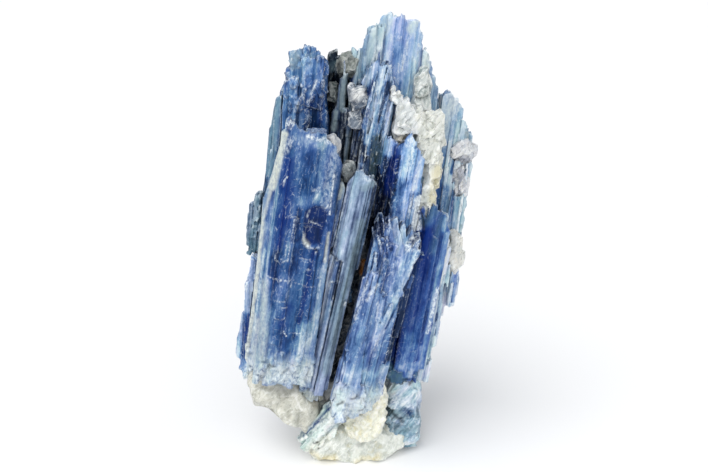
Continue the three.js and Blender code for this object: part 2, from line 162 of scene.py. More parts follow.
def wave(seed, *places):
    """A smooth random wave from -1 to 1, with a new value about every whole number."""
    cells = [np.floor(place) for place in places]
    shares = [place - cell for place, cell in zip(places, cells)]
    shares = [share * share * (3 - 2 * share) for share in shares]
    total = 0
    for corner in itertools.product((0, 1), repeat=len(places)):
        weight = 1
        for bit, share in zip(corner, shares):
            weight = weight * (share if bit else 1 - share)
        total = total + weight * chance(seed, *[cell + bit for cell, bit in zip(cells, corner)])
    return 2 * total - 1


def ramp(value, low, high):
    """0 below low, 1 above high, smooth in between."""
    share = np.clip((value - low) / (high - low), 0, 1)
    return share * share * (3 - 2 * share)


print("a wave:", np.round(wave(1, np.arange(4) + 0.3), 2))

# %% [markdown]
# ## A blade's own directions
# Every blade leans its own way, and its ridges, streaks and breaks all follow its length. So each blade
# is worked on in a frame of its own, in mm: across its face, into it, and along its length. The long
# edges of the solid give the length, and its largest front face gives the other two.

# %% Frames
MERGE = 0.001  # mm; corners closer than this are one
PARALLEL = 0.999  # the cosine of two directions that count as the same
FLUSH = 0.9995  # the same for the normals of one flat face


def merged_copy(node):
    """A CAD node's solid as one connected mesh, in mm."""
    bm = bmesh.new()
    bm.from_mesh(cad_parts[node].data)
    bmesh.ops.scale(bm, vec=Vector((1, 1, 1)) / MM, verts=bm.verts)
    bmesh.ops.remove_doubles(bm, verts=bm.verts, dist=MERGE)
    return bm


def grain_of(bm):
    """The blade's directions, as the columns of a rotation: across its face, into it, and along it."""
    longest_first = sorted(bm.edges, key=lambda edge: -edge.calc_length())
    edges = longest_first[: max(6, len(bm.edges) // 12)]
    steps = [edge.verts[1].co - edge.verts[0].co for edge in edges]
    steps = [step if step.z > 0 else -step for step in steps]
    middle = Vector(np.median([step.normalized() for step in steps], axis=0)).normalized()
    along = sum((step for step in steps if step.normalized().dot(middle) > PARALLEL), Vector()).normalized()
    fronts = [f for f in bm.faces if abs(f.normal.dot(along)) < 0.02 and f.normal.y < -0.5]

    def flat_area(face):
        return sum(f.calc_area() for f in fronts if f.normal.dot(face.normal) > FLUSH)

    into = -max(fronts, key=flat_area).normal
    into = (into - along * into.dot(along)).normalized()
    return Matrix((into.cross(along), into, along)).transposed()


def laid_out(bm, turn):
    """Turns the mesh into its own frame, with the lowest corner at zero. Returns the way back."""
    bmesh.ops.rotate(bm, matrix=turn.transposed(), verts=bm.verts)
    low = Vector(np.min([v.co for v in bm.verts], axis=0))
    bmesh.ops.translate(bm, vec=-low, verts=bm.verts)
    return Matrix.Scale(MM, 4) @ turn.to_4x4() @ Matrix.Translation(low)


sample = merged_copy("front_left_blade")
print("the front left blade runs along", [round(v, 2) for v in grain_of(sample).col[2]])
sample.free()

# %% [markdown]
# ## Laths, shards and crumbs
# Kyanite grows in thin laths that lie on each other like planks. They split and break into shards, and
# where a blade meets the rock around it, it is crushed to crumbs. Each break could be carved out of the
# solid, but that needs a plan of every cut. Small blocks laid on the solid give the same broken steps,
# and the next step melts them into one skin with it. Most blocks are strewn by chance. The shards and the
# single laths that can be told apart, called posts here, are placed one by one.

# %% Blocks
OUTSIDE = 9  # mm; rays that look for a surface start this far away from it


def turned_by(degrees):
    """The rotation by these angles about X, Y and Z."""
    return Euler([math.radians(angle) for angle in degrees]).to_matrix()


def block(bm, centre, size, tapers=(1, 1), slant=0, turn=(0, 0, 0)):
    """A small block with its own taper at the bottom and the top, a slanted top, and a turn in degrees."""
    made = bmesh.ops.create_cube(bm, size=1, matrix=Matrix.Diagonal((*size, 1)))["verts"]
    for v in made:
        v.co.x *= tapers[int(v.co.z > 0)]
        v.co.z += v.co.x * slant if v.co.z > 0 else 0
    bmesh.ops.transform(bm, matrix=Matrix.Translation(centre) @ turned_by(turn).to_4x4(), verts=made)


class Surface:
    """Finds points on a solid as it was before any block was laid on it."""

    def __init__(self, bm):
        self.tree = BVHTree.FromBMesh(bm)
        self.high = Vector(np.max([v.co for v in bm.verts], axis=0))

    def front(self, u, w):
        return self.tree.ray_cast(Vector((u, -OUTSIDE, w)), Vector((0, 1, 0)))[0]

    def back(self, u, w):
        return self.tree.ray_cast(Vector((u, self.high.y + OUTSIDE, w)), Vector((0, -1, 0)))[0]

    def top(self, u, d):
        return self.tree.ray_cast(Vector((u, d, self.high.z + OUTSIDE)), Vector((0, 0, -1)))[0]

    def face(self, number):
        """How to find the face that a block of this number goes on, and the way out of it. Every third
        block goes on the back."""
        return (self.back, 1) if number % 3 == 2 else (self.front, -1)


sample = bmesh.new()
block(sample, (0, 0, 5), (4, 1, 10), tapers=(1, 0.5))
print("a block:", len(sample.verts), "corners; its front is met at", Surface(sample).front(0, 5)[:])
sample.free()

# %% Strewn blocks
THICK = 1.5  # mm, of a lath or a shard; most of it lies inside the solid
LEVEL = 1.2  # mm; the most by which the surface may step between the ends of a lath
ROOT = 5  # mm; this much of a splinter is inside the blade


def lay_laths(bm, surface, random, count, width, length, proud, lean):
    """Lays laths on both faces of the blade. Pairs are (least, most) in mm, and lean is in degrees."""
    for number in range(count):
        find, outward = surface.face(number)
        u, w = random.uniform(0, surface.high.x), random.uniform(0, surface.high.z)
        wide, long, stand = (random.uniform(*pair) for pair in (width, length, proud))
        ends = [find(u, w + share * long) for share in (-0.4, 0.4)]
        if None in ends or abs(ends[0].y - ends[1].y) > LEVEL:
            continue
        depth = (ends[0].y + ends[1].y) / 2 + outward * (stand - THICK / 2)
        tapers = random.uniform(0.3, 1, 2)
        turn = (random.uniform(-2, 2), random.normal(0, lean), 0)
        block(bm, (u, depth, w), (wide, THICK, long), tapers, random.uniform(-0.9, 0.9), turn)


def raise_splinters(bm, surface, random, count, width, rise):
    """Stands thin splinters on the broken upper ends of the blade. Ends low down stay as they are."""
    for _ in range(count):
        u, d = random.uniform(0, surface.high.x), random.uniform(0, surface.high.y)
        wide, thick, up = (random.uniform(*pair) for pair in (width, width, rise))
        tip = surface.top(u, d)
        if tip is None or tip.z < 0.3 * surface.high.z:
            continue
        tapers = (1, random.uniform(0.25, 0.9))
        turn = (random.uniform(-4, 4), random.uniform(-4, 4), 0)
        middle = (u, d, tip.z - ROOT / 2 + up / 2)
        block(bm, middle, (wide, thick, ROOT + up), tapers, random.uniform(-1.6, 1.6), turn)


def strew_crumbs(bm, surface, random, count, heights, size):
    """Strews small tilted blocks over both faces, between two heights."""
    for number in range(count):
        find, _ = surface.face(number)
        place = find(random.uniform(0, surface.high.x), random.uniform(*heights))
        if place is not None:
            sizes = random.uniform(*size) * random.uniform(0.5, 1.2, 3)
            sizes[2] *= 1.6
            block(bm, place, sizes, turn=random.uniform(-35, 35, 3))


print("a lath is", THICK, "mm thick, and a splinter is rooted", ROOT, "mm deep")


# %% Blocks placed by hand
def lay_shards(bm, surface, shards):
    """Lays single shards one by one: (u, w) of the middle, length, width, lean in degrees, how far it
    stands out, and its width at the top end as a share of the width at its foot."""
    for u, w, long, wide, lean, stand, taper in shards:
        spot = surface.front(u, w)
        if spot is None:
            print("no surface under the shard at", (u, w))
            continue
        middle = (u, spot.y + THICK / 2 - stand, w)
        block(bm, middle, (wide, THICK, long), (1, taper), 1.2 * taper, (0, lean, 0))


def stand_posts(bm, posts):
    """Stands single laths one by one, in the piece's own frame: (u, d) of the middle, the heights of the
    foot and of the top, width, thickness, width at the top as a share, and lean in degrees."""
    for u, d, low, high, wide, thick, taper, lean in posts:
        block(bm, (u, d, (low + high) / 2), (wide, thick, high - low), (1, taper), 0.5, (0, lean, 0))


sample = bmesh.new()
stand_posts(sample, [(0, 0, 0, 9, 2, 2, 0.5, 0)])
print("a post 9 mm high, with its slanted top:", round(Surface(sample).high.z, 2), "mm")
sample.free()

# %% [markdown]
# ## One skin
# The Remesh modifier in voxel mode melts a solid and its blocks into one closed skin of even little
# squares. They lie along the blade, because the blade is laid out in its own frame, so its ridges stay
# straight. Sculpting would start from the same skin; here the steps of the laths are pushed out by a
# formula.

# %% Skin
COARSER = 1.0


def skin(bm, voxel):
    """One closed mesh of even squares around everything in bm."""
    rough = bpy.data.meshes.new("rough")
    bm.to_mesh(rough)
    bm.free()
    carrier = bpy.data.objects.new("rough", rough)
    scene.collection.objects.link(carrier)
    remesh = carrier.modifiers.new("Remesh", "REMESH")
    remesh.mode = "VOXEL"
    remesh.voxel_size = voxel * COARSER
    bpy.context.view_layer.update()
    mesh = bpy.data.meshes.new_from_object(carrier.evaluated_get(bpy.context.evaluated_depsgraph_get()))
    bpy.data.objects.remove(carrier)
    bpy.data.meshes.remove(rough)
    return mesh


print("skins are made", COARSER, "times as coarse as written")

# %% Points of a skin
NEAR = 5  # rounds of averaging that make a point's neighbourhood


def points_of(mesh):
    """The mesh's vertices and their normals, as two arrays of three columns."""
    places = np.empty(len(mesh.vertices) * 3, dtype=np.float32)
    normals = np.empty_like(places)
    mesh.vertices.foreach_get("co", places)
    mesh.vertex_normals.foreach_get("vector", normals)
    return places.reshape(-1, 3).astype(float), normals.reshape(-1, 3).astype(float)


def average_of(mesh, places, rounds):
    """Each point moved to the average of its neighbours, so many times over."""
    edges = np.empty(len(mesh.edges) * 2, dtype=np.int32)
    mesh.edges.foreach_get("vertices", edges)
    one, other = edges.reshape(-1, 2).T
    size = len(places)
    neighbours = np.bincount(one, minlength=size) + np.bincount(other, minlength=size)
    for _ in range(rounds):
        columns = [np.bincount(one, c[other], size) + np.bincount(other, c[one], size) for c in places.T]
        places = np.stack(columns, axis=1) / neighbours[:, None]
    return places


def bend_of(mesh, places, normals):
    """How far each point stands out from its neighbourhood, in mm. Ridges are above zero."""
    return ((places - average_of(mesh, places, NEAR)) * normals).sum(axis=1)


print("bends are measured against", NEAR, "rounds of averaging")


# %% Laths
def lath_pattern(seed, across, w, width, length):
    """Lanes of uneven width along the blade, broken into laths. Gives each point the level of its lath from
    0 to 1 and the lath's tilt there."""
    lane = across / width + 0.6 * wave(seed, across / (2.2 * width))
    lane = lane + 0.3 * wave(seed + 7, across / (3 * width), w / length)
    column = np.floor(lane)
    share = lane - column
    slant = 5 * (chance(seed + 4, column) - 0.5) * (share - 0.5) * width / length
    along = w / (length * (0.5 + chance(seed + 1, column))) + 7 * chance(seed + 2, column) + slant
    cell = np.floor(along)
    level = chance(seed + 3, column, cell)
    tilt = 2 * (chance(seed + 6, column, cell) - 0.5) * (share - 0.5)
    return level, tilt


sample = lath_pattern(1, np.array([3.0]), np.array([9.0]), 2, 30)
print("a lath's level and tilt:", [np.round(v, 2) for v in sample])

# %% [markdown]
# ## Marks on a blade
# The real blades have bands of deeper blue, frosted edges, grey-green zones and shaded hollows at certain
# places. An image would fix them to one resolution. They are strokes instead, each from one point of a
# piece's front to another, with a ragged edge. Points are in mm, across the front and up it from its lower
# left corner. A stroke changes one of these: tone (0 dark to 1 light), frost (white frosting, and in places
# a painted glint), tint, ink (near black, for dark spots and for painted shade in hollows and gaps), royal
# (saturated blue), or step (the surface itself, in mm).

# %% Strokes
CHANNELS = ("tone", "frost", "tint", "ink", "royal")
Stroke = namedtuple("Stroke", "kind across up to_across to_up half amount soft", defaults=[0.3])
tone, frost, tint, ink, royal, step = (partial(Stroke, kind) for kind in (*CHANNELS, "step"))
print("for example:", frost(3, 50, 4.6, 52, 0.12, 0.6))

# %% Painting
RAGGED = 0.45  # of a stroke's half width


def reach_of(mark, u, w, seed):
    """1 on the stroke and 0 away from it, with a ragged edge."""
    way = np.subtract((mark.to_across, mark.to_up), (mark.across, mark.up))
    share = ((u - mark.across) * way[0] + (w - mark.up) * way[1]) / max(way @ way, 1e-9)
    share = np.clip(share, 0, 1)
    off = np.hypot(u - mark.across - share * way[0], w - mark.up - share * way[1])
    ragged = 0.6 * wave(seed, u / 0.8, w / 2.5) + 0.4 * wave(seed + 1, u / 2.5, w / 8)
    return 1 - ramp(off - mark.half * (1 + RAGGED * ragged), -mark.soft, mark.soft)


def paint(marks, strokes, u, w, facing, seed):
    """Adds the strokes to the marks where the surface faces the front. Returns the steps, in mm."""
    pushed = np.zeros(len(u))
    for number, mark in enumerate(strokes):
        mask = reach_of(mark, u, w, seed + 3 * number) * facing
        if mark.kind == "step":
            pushed += mark.amount * mask
        elif mark.kind == "tone":
            marks["tone"] += mask * (mark.amount - marks["tone"])
        else:
            marks[mark.kind] = np.maximum(marks[mark.kind], mark.amount * mask)
    return pushed


def ridge_frost_glint_and_hollow_shade(marks, bend, ridges, hollows):
    """Frosts what stands out, partly as the white of worn edges and partly as a painted highlight, and puts
    painted shade, in the ink, on what lies deep. Each has an amount and two bends in mm: where it starts
    and where it is full."""
    for kind, bent, (amount, low, high) in (("frost", bend, ridges), ("ink", -bend, hollows)):
        marks[kind] = np.maximum(marks[kind], amount * ramp(bent, low, high))


spots = np.array([3.0, 5.0])
reach = reach_of(tone(3, 0, 3, 9, 0.5, 1), spots, spots, seed=1)
print("a stroke's reach on it and 2 mm beside it:", np.round(reach, 2))

# %% [markdown]
# ## Material helpers
# All patterns are procedural, so they hold at any size. They read Object coordinates, turned to the
# blade's grain and stretched along it, because kyanite's colour lies in streaks along the blade.

# %% Colours
def linear(hex_colour, share=1.0):
    """A colour written as RRGGBB, as the linear light that shaders use, times a share."""
    parts = [int(hex_colour[i : i + 2], 16) / 255 for i in (0, 2, 4)]
    light = [c / 12.92 if c <= 0.04045 else ((c + 0.055) / 1.055) ** 2.4 for c in parts]
    return (*(share * c for c in light), 1)


print("black is", linear("000000"), "and white is", linear("ffffff"))


# %% Shader nodes
class Graph:
    """Short ways to add shader nodes. Each returns the new node's output."""

    def __init__(self, shader, angles):
        self.nodes = shader.id_data.nodes
        self.angles = angles

    def add(self, kind, output, inputs, **settings):
        node = self.nodes.new("ShaderNode" + kind)
        for name, value in settings.items():
            setattr(node, name, value)
        give(node, inputs)
        return node.outputs[output]

    def math(self, operation, a, b, clamp=False):
        return self.add("Math", 0, {0: a, 1: b}, operation=operation, use_clamp=clamp)

    def plus(self, a, b, clamp=False):
        return self.math("ADD", a, b, clamp)

    def times(self, a, b, clamp=False):
        return self.math("MULTIPLY", a, b, clamp)

    def mix(self, share, a, b, blend="MIX"):
        return self.add("Mix", 2, {"Factor": share, 6: a, 7: b}, data_type="RGBA", blend_type=blend)

    def span(self, value, low, high, to_low=0.0, to_high=1.0):
        """value from low to high, spread over to_low to to_high and held there."""
        inputs = {"Value": value, "From Min": low, "From Max": high, "To Min": to_low, "To Max": to_high}
        return self.add("MapRange", 0, inputs, clamp=True)

    def ramp(self, value, stops):
        """Blends between (place, linear colour) stops."""
        blended = self.add("ValToRGB", "Color", {"Fac": value})
        elements = blended.node.color_ramp.elements
        while len(elements) < len(stops):
            elements.new(0.5)
        for element, (place, colour) in zip(elements, stops):
            element.position = place
            element.color = colour
        return blended

    def turned(self, sizes, skew):
        """Object coordinates turned to the grain, measured in these sizes in mm, and skewed by degrees."""
        place = self.add("TexCoord", "Object", {})
        inputs = {"Vector": place, "Rotation": self.angles}
        inputs["Vector"] = self.add("Mapping", 0, inputs, vector_type="TEXTURE")
        inputs["Rotation"] = (0, math.radians(skew), 0)
        inputs["Scale"] = [size * MM for size in sizes]
        return self.add("Mapping", 0, inputs, vector_type="TEXTURE")

    def noise(self, sizes, detail, rough, skew=0.0, warp=0.0):
        inputs = {"Vector": self.turned(sizes, skew), "Scale": 1.0}
        inputs.update({"Detail": detail, "Roughness": rough, "Distortion": warp})
        return self.add("TexNoise", "Fac", inputs)

    def edges(self, sizes, skew, thin, thick):
        """1 on the thin straight borders between the cells of a crackled pattern."""
        inputs = {"Vector": self.turned(sizes, skew), "Scale": 1.0}
        distance = self.add("TexVoronoi", "Distance", inputs, feature="DISTANCE_TO_EDGE")
        return self.span(distance, thin, thick, 1.0, 0.0)

    def marks(self):
        """The painted marks of a piece, by the names in CHANNELS."""
        four = self.add("Attribute", "Color", {}, attribute_name="marks")
        split = self.add("SeparateColor", 0, {"Color": four}).node
        fifth = self.add("Attribute", "Fac", {}, attribute_name="royal")
        values = (*split.outputs, four.node.outputs["Alpha"], fifth)
        return SimpleNamespace(**dict(zip(CHANNELS, values)))

    def bump(self, height, strength, distance):
        inputs = {"Strength": strength, "Distance": distance * MM, "Height": height}
        return self.add("Bump", "Normal", inputs)


print("a graph has:", ", ".join(name for name in vars(Graph) if not name.startswith("_")))

# %% [markdown]
# ## Kyanite
# Kyanite is glassy and see-through only in thin edges. Its colour is blotched and streaked along the blade,
# from white to near black blue, with threads of white where cleavages open inside it. Real transmission
# would lose the colour in blades this thick, so the depth is in the colour: five tones for each piece, laid
# in streaks, then lines, threads, frost with some painted glints, and the painted marks, among them painted
# shade in hollows and gaps. The gloss keeps kyanite's high index.

# %% Kyanite
# near black, for dark spots and for painted shade in hollows and gaps
DARK_INK_AND_SHADE = "040819"
ROYAL = "00206c"
# white, for frost, cleavage threads and painted glints
WHITE_FROST_AND_GLINT = "e2e9ea"
DIMMED = 0.9  # of each tone; the gloss adds the rest
KYANITE_INDEX = 1.72


def kyanite(name, angles, colours, style):
    material, shader = new_material(name)
    g = Graph(shader, angles)
    painted = g.marks()
    # patterns, from hair-fine streaks to broad ones, then blotches and specks
    fine = g.noise((0.4, 0.4, 18), 3, 0.6)
    lines = g.noise((0.55, 0.55, 60), 2, 0.5, 0.6)
    broad = g.noise((1.4, 1.4, 34), 3, 0.55)
    cloud = g.noise((2.2, 2.2, 5), 4, 0.65, 6, 0.3)
    speck = g.noise((0.55, 0.55, 0.9), 4, 0.7)
    value = painted.tone
    weights = (0.7 * style.streaks, 0.9 * style.streaks, 1.2 * style.streaks, 0.9, 0.4)
    for weight, noise in zip(weights, (fine, lines, broad, cloud, speck)):
        value = g.plus(value, g.times(g.math("SUBTRACT", noise, 0.5), weight))
    tones = [linear(colour, DIMMED) for colour in colours]
    colour = g.ramp(value, list(zip((0.08, 0.3, 0.5, 0.7, 0.92), tones)))
    # dark and light lines along the blade, and a slight green or purple cast
    dark_line = g.span(lines, 0.62, 0.7, 0.0, 0.45 * style.streaks)
    colour = g.mix(dark_line, colour, tones[0])
    light_line = g.span(lines, 0.34, 0.4, 0.45 * style.streaks, 0.0)
    colour = g.mix(g.times(light_line, g.span(speck, 0.4, 0.6)), colour, tones[4])
    cast = g.noise((3, 3, 11), 3, 0.6, 4)
    casts = [(0.36, linear("e6f8f5")), (0.5, linear("ffffff")), (0.64, linear("fcf4ff"))]
    colour = g.mix(1.0, colour, g.ramp(cast, casts), "MULTIPLY")
    colour = g.mix(g.times(painted.royal, g.span(broad, 0.3, 0.6, 1.0, 0.75)), colour, linear(ROYAL))
    # white threads of open cleavage
    crack = g.edges((1, 1, 2.6), 12, 0.02, 0.06)
    flake = g.edges((1.7, 1.7, 1.5), -30, 0.015, 0.05)
    crack = g.times(crack, g.span(cloud, 0.5, 0.6))
    flake = g.times(flake, g.span(broad, 0.5, 0.6))
    thread = g.times(g.math("MAXIMUM", crack, flake), g.span(speck, 0.45, 0.6))
    thread = g.times(thread, style.threads, True)
    colour = g.mix(thread, colour, linear(WHITE_FROST_AND_GLINT))
    # the painted tint, the frost with its painted glints and the ink with its painted shade, broken up by
    # the specks
    tinted = g.times(painted.tint, g.span(speck, 0.35, 0.6, 0.55, 1.05), True)
    colour = g.mix(tinted, colour, linear(style.tint))
    frost_and_glint_mask = g.times(painted.frost, g.span(speck, 0.42, 0.58, 0.1, 1.2), True)
    frost_and_glint_mask = g.math("MAXIMUM", frost_and_glint_mask, g.span(painted.frost, 0.78, 0.98, 0.0, 0.85))
    colour = g.mix(frost_and_glint_mask, colour, linear(WHITE_FROST_AND_GLINT))
    colour = g.mix(painted.ink, colour, linear(DARK_INK_AND_SHADE))
    # gloss and fine relief
    rough = g.span(broad, 0.3, 0.7, style.gloss - 0.08, style.gloss + 0.12)
    relief = g.plus(fine, g.times(speck, 0.6))
    relief = g.math("SUBTRACT", relief, g.times(dark_line, 0.4))
    give(shader, {
        "Base Color": colour,
        "Roughness": g.plus(rough, g.times(frost_and_glint_mask, 0.25), True),
        "Normal": g.bump(g.plus(relief, g.times(thread, 0.4)), 0.8, 0.16),
        "IOR": KYANITE_INDEX,
        "Specular IOR Level": 0.18,
        "Specular Tint": (0.4, 0.6, 1, 1),
    })
    return material


print("kyanite: index", KYANITE_INDEX)

# %% [markdown]
# ## Quartz
# The quartz between the blades is milky and glassy at once: light goes in, is scattered by veils and tiny
# cracks, and comes out again. Glass alone would show the blades behind it too clearly, and plain white
# would look like chalk. So it is part transmission and part scattering below the surface, with veils that
# decide how much of each, and stains painted or blotched over it. Grit is how rough and specked it is.

# %% Quartz
QUARTZ_INDEX = 1.54


def quartz(name, body, shade, stain, style):
    material, shader = new_material(name)
    g = Graph(shader, (0, 0, 0))
    painted = g.marks()
    cloud = g.noise((2.4, 2.4, 3.2), 5, 0.62, 20, 0.6)
    veil = g.noise((0.8, 0.8, 2.4), 4, 0.62, 35, 0.9)
    speck = g.noise((0.5, 0.5, 0.5), 3, 0.7)
    crack = g.edges((2.2, 2.2, 2.2), 25, 0.01, 0.035)
    crack = g.times(crack, g.span(speck, 0.42, 0.55))
    # the body, its veils and stains, then dark specks, white cracks and the painted marks: frost that is
    # partly a painted highlight on edges, and ink that is dark spots and painted shade
    colour = g.mix(g.span(cloud, 0.42, 0.62), linear(body), linear(shade))
    colour = g.mix(g.span(veil, 0.52, 0.64, 0.0, style.veiled), colour, linear("f4f5f1"))
    blot = g.times(g.span(cloud, 0.54, 0.66), style.stained)
    colour = g.mix(g.plus(blot, painted.tint, True), colour, linear(stain))
    colour = g.mix(g.span(speck, 0.7, 0.78, 0.0, 0.15 * style.grit), colour, linear("8a867c"))
    colour = g.mix(g.times(crack, 0.7 * style.veiled), colour, linear("fdfdfb"))
    colour = g.mix(painted.frost, colour, linear("fbfbf7"))
    colour = g.mix(painted.ink, colour, linear("15181b"))
    give(shader, {
        "Base Color": colour,
        "Roughness": g.span(veil, 0.3, 0.7, 0.22, 0.42),
        "Transmission Weight": g.span(veil, 0.4, 0.6, style.clear, style.clear * 0.3),
        "Normal": g.bump(g.plus(veil, g.times(speck, 0.5)), 0.45 * style.grit, 0.14),
        "IOR": QUARTZ_INDEX,
        "Specular IOR Level": 0.35,
        "Subsurface Weight": 0.6,
        "Subsurface Radius": (0.6, 0.58, 0.54),
        "Subsurface Scale": 1.0 * MM,
    })
    return material


print("quartz: index", QUARTZ_INDEX)

# %% [markdown]
# ## Finishing a piece
# Every piece ends the same way: its points go back to their place in the frame, the painted marks become
# attributes for the shader, and the piece takes over from its CAD node. Crystals have crisp breaks, so
# creases sharper than an angle stay sharp in the shading. No point goes below the floor.

# %% Finishing a piece
CREASE = 36  # degrees
face_counts = {}


def put_attribute(mesh, name, kind, field, values):
    layer = mesh.attributes.new(name, kind, "POINT")
    layer.data.foreach_set(field, np.clip(values, 0, 1).astype(np.float32).ravel())


def finish_piece(node, mesh, places, marks, home, material):
    """Writes the moved points back, puts the piece in its place, and gives it its finish."""
    home = np.array(home)
    places = places @ home[:3, :3].T + home[:3, 3]
    places[:, 2] = np.maximum(places[:, 2], 0)
    mesh.vertices.foreach_set("co", places.astype(np.float32).ravel())
    put_attribute(mesh, "marks", "FLOAT_COLOR", "color", np.stack([marks[k] for k in CHANNELS[:4]], axis=1))
    put_attribute(mesh, "royal", "FLOAT", "value", marks["royal"])
    mesh.polygons.foreach_set("use_smooth", np.ones(len(mesh.polygons), dtype=bool))
    mesh.set_sharp_from_angle(angle=math.radians(CREASE))
    mesh.materials.clear()
    mesh.materials.append(material)
    mesh.name = node
    mesh.update()
    piece = bpy.data.objects.new(node, mesh)
    scene.collection.objects.link(piece)
    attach(piece, "root")
    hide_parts(node)
    face_counts[node] = len(mesh.polygons)
    print(node, face_counts[node], "faces")


# %% [markdown]
# ## Dressing a blade
# One way for all blades: lay the blocks, melt the skin, push its laths in and out, then read off what
# stands out and what lies deep. Ridges are frosted white, partly as the worn edges of kyanite and partly as
# a painted highlight, and grooves get painted shade, so those are measured on the finished surface instead
# of given as strokes.

# %% The style of a blade
SWELL = 0.12  # mm; closes most of the gap between neighbouring solids
TIP_CHIPS = 0.5  # mm, from the lowest to the highest chip on a broken end
TIP_FROST = 0.3  # how white a broken end is
SIDE_SHIFT = 50  # mm; gives the sides of a blade laths of their own
UNEVEN = 0.09  # mm
BLADE = dict(
    grain=None, voxel=0.24,  # a turn in degrees, where the edges don't give it; the size of a square
    bars=(30, (0.8, 2.6), (5, 26), (0.1, 0.4)), lean=1.5,  # laths laid on: count, width, length, height
    splinters=(16, (0.5, 1.2), (0.2, 1.0)), crumbs=None,  # count, width, rise; count, heights, size
    shards=(), posts=(), crown=None, cuts=(),  # crown: (across, height); cuts: (right, up, how far out)
    # ridges: frost on what stands out, partly worn white edges and partly a painted highlight; hollows:
    # painted shade in what lies deep
    laths=(2.4, 40, 0.3), ridges=0.5, hollows=0.5,  # laths in the skin: width, length, height
    # sides: painted light and shade, the tone added to faces turned left and right
    tone=0.5, spread=0.45, sides=(-0.2, -0.15), strokes=(),  # sides: the tone added left and right
    tint="d3d5c6", streaks=0.7, threads=0.5, gloss=0.3,
)
print("a blade's values:", ", ".join(BLADE))

# %% Blocks and breaks of a blade
RAGGED_CROWN = 0.25  # mm
RAGGED_CUT = 0.4  # mm


def lay_blocks(bm, style, random):
    """Lays all the blocks of a blade."""
    surface = Surface(bm)
    lay_laths(bm, surface, random, *style.bars, style.lean)
    lay_shards(bm, surface, style.shards)
    stand_posts(bm, style.posts)
    raise_splinters(bm, surface, random, *style.splinters)
    if style.crumbs:
        strew_crumbs(bm, surface, random, *style.crumbs)


def break_off(places, before, style, seed):
    """Holds the blade below its crown and behind its flat breaks. before is the skin as it was melted."""
    u, d, w = before.T
    if style.crown:
        limit = np.interp(u, *zip(*style.crown)) + RAGGED_CROWN * wave(seed + 30, u / 0.5, d / 0.7)
        places[:, 2] = np.minimum(places[:, 2], limit)
    for right, up, most in style.cuts:
        ragged = RAGGED_CUT * wave(seed + 31, u / 1.2, d / 0.9, w / 1.2)
        reach = right * places[:, 0] + up * places[:, 2] + ragged
        places -= np.maximum(reach - most, 0)[:, None] * (right, 0, up)


print("a crown is ragged by", RAGGED_CROWN, "mm, a flat break by", RAGGED_CUT, "mm")


# %% Dressing a blade
def no_marks(places):
    return {kind: np.zeros(len(places)) for kind in CHANNELS}


def dress_blade(node, seed, colours, **changes):
    """Dresses a blade. colours are its five tones from dark to light; changes replace values of BLADE. Each
    pattern adds a number of its own to the seed, so no two are alike."""
    style = SimpleNamespace(**{**BLADE, **changes})
    bm = merged_copy(node)
    turn = turned_by(style.grain) if style.grain else grain_of(bm)
    home = laid_out(bm, turn)
    lay_blocks(bm, style, np.random.default_rng(seed))
    mesh = skin(bm, style.voxel)
    before, normals = points_of(mesh)
    u, d, w = before.T
    nu, nd, nw = normals.T

    width, length, relief = style.laths
    across = np.where(np.abs(nd) > np.abs(nu), u, d + SIDE_SHIFT)
    level, tilt = lath_pattern(seed, across, w, width, length)
    long_side = 1 - ramp(np.abs(nw), 0.5, 0.85)
    push = long_side * relief * (level - 0.6 + 0.5 * tilt)
    push += UNEVEN * wave(seed + 20, u / 0.8, d / 0.8, w / 1.4)
    marks = no_marks(before)
    marks["tone"] += style.tone + style.spread * (level - 0.5)
    # painted light and shade: faces turned to the left or the right are made lighter or darker
    marks["tone"] += np.where(nu < 0, style.sides[0], style.sides[1]) * ramp(np.abs(nu), 0.4, 0.8)
    marks["frost"] += TIP_FROST * (1 - long_side)
    push += paint(marks, style.strokes, u, w, ramp(-nd, -0.2, 0.3), seed + 40)

    places = before + normals * (push + SWELL)[:, None]
    chips = chance(seed + 5, np.floor(u / 0.7), np.floor(d / 0.6)) - 0.5
    places[:, 2] += (1 - long_side) * np.sign(nw) * TIP_CHIPS * chips
    break_off(places, before, style, seed)
    bend = bend_of(mesh, places, normals)
    # painted highlight and frost on the ridges, painted shade in the hollows
    ridge_frost_glint_and_hollow_shade(marks, bend, (style.ridges, 0.08, 0.3), (style.hollows, 0.08, 0.35))
    finish_piece(node, mesh, places, marks, home, kyanite(node, turn.to_euler(), colours.split(), style))


print("blades are swollen by", SWELL, "mm and chipped by up to", TIP_CHIPS / 2, "mm")

# %% [markdown]
# ## The front left blade
# The largest blade, nearly flat, with deep royal blue down its left half. Its left edge is a pale bevel,
# and its face is etched: thin white outlines of steps, a dark broken hollow and a shell-shaped chip on
# the right, and a frosted crushed foot. These could be carved, but they are thinner than the skin's
# squares, so most are strokes of colour, and only the larger ones step the surface too.

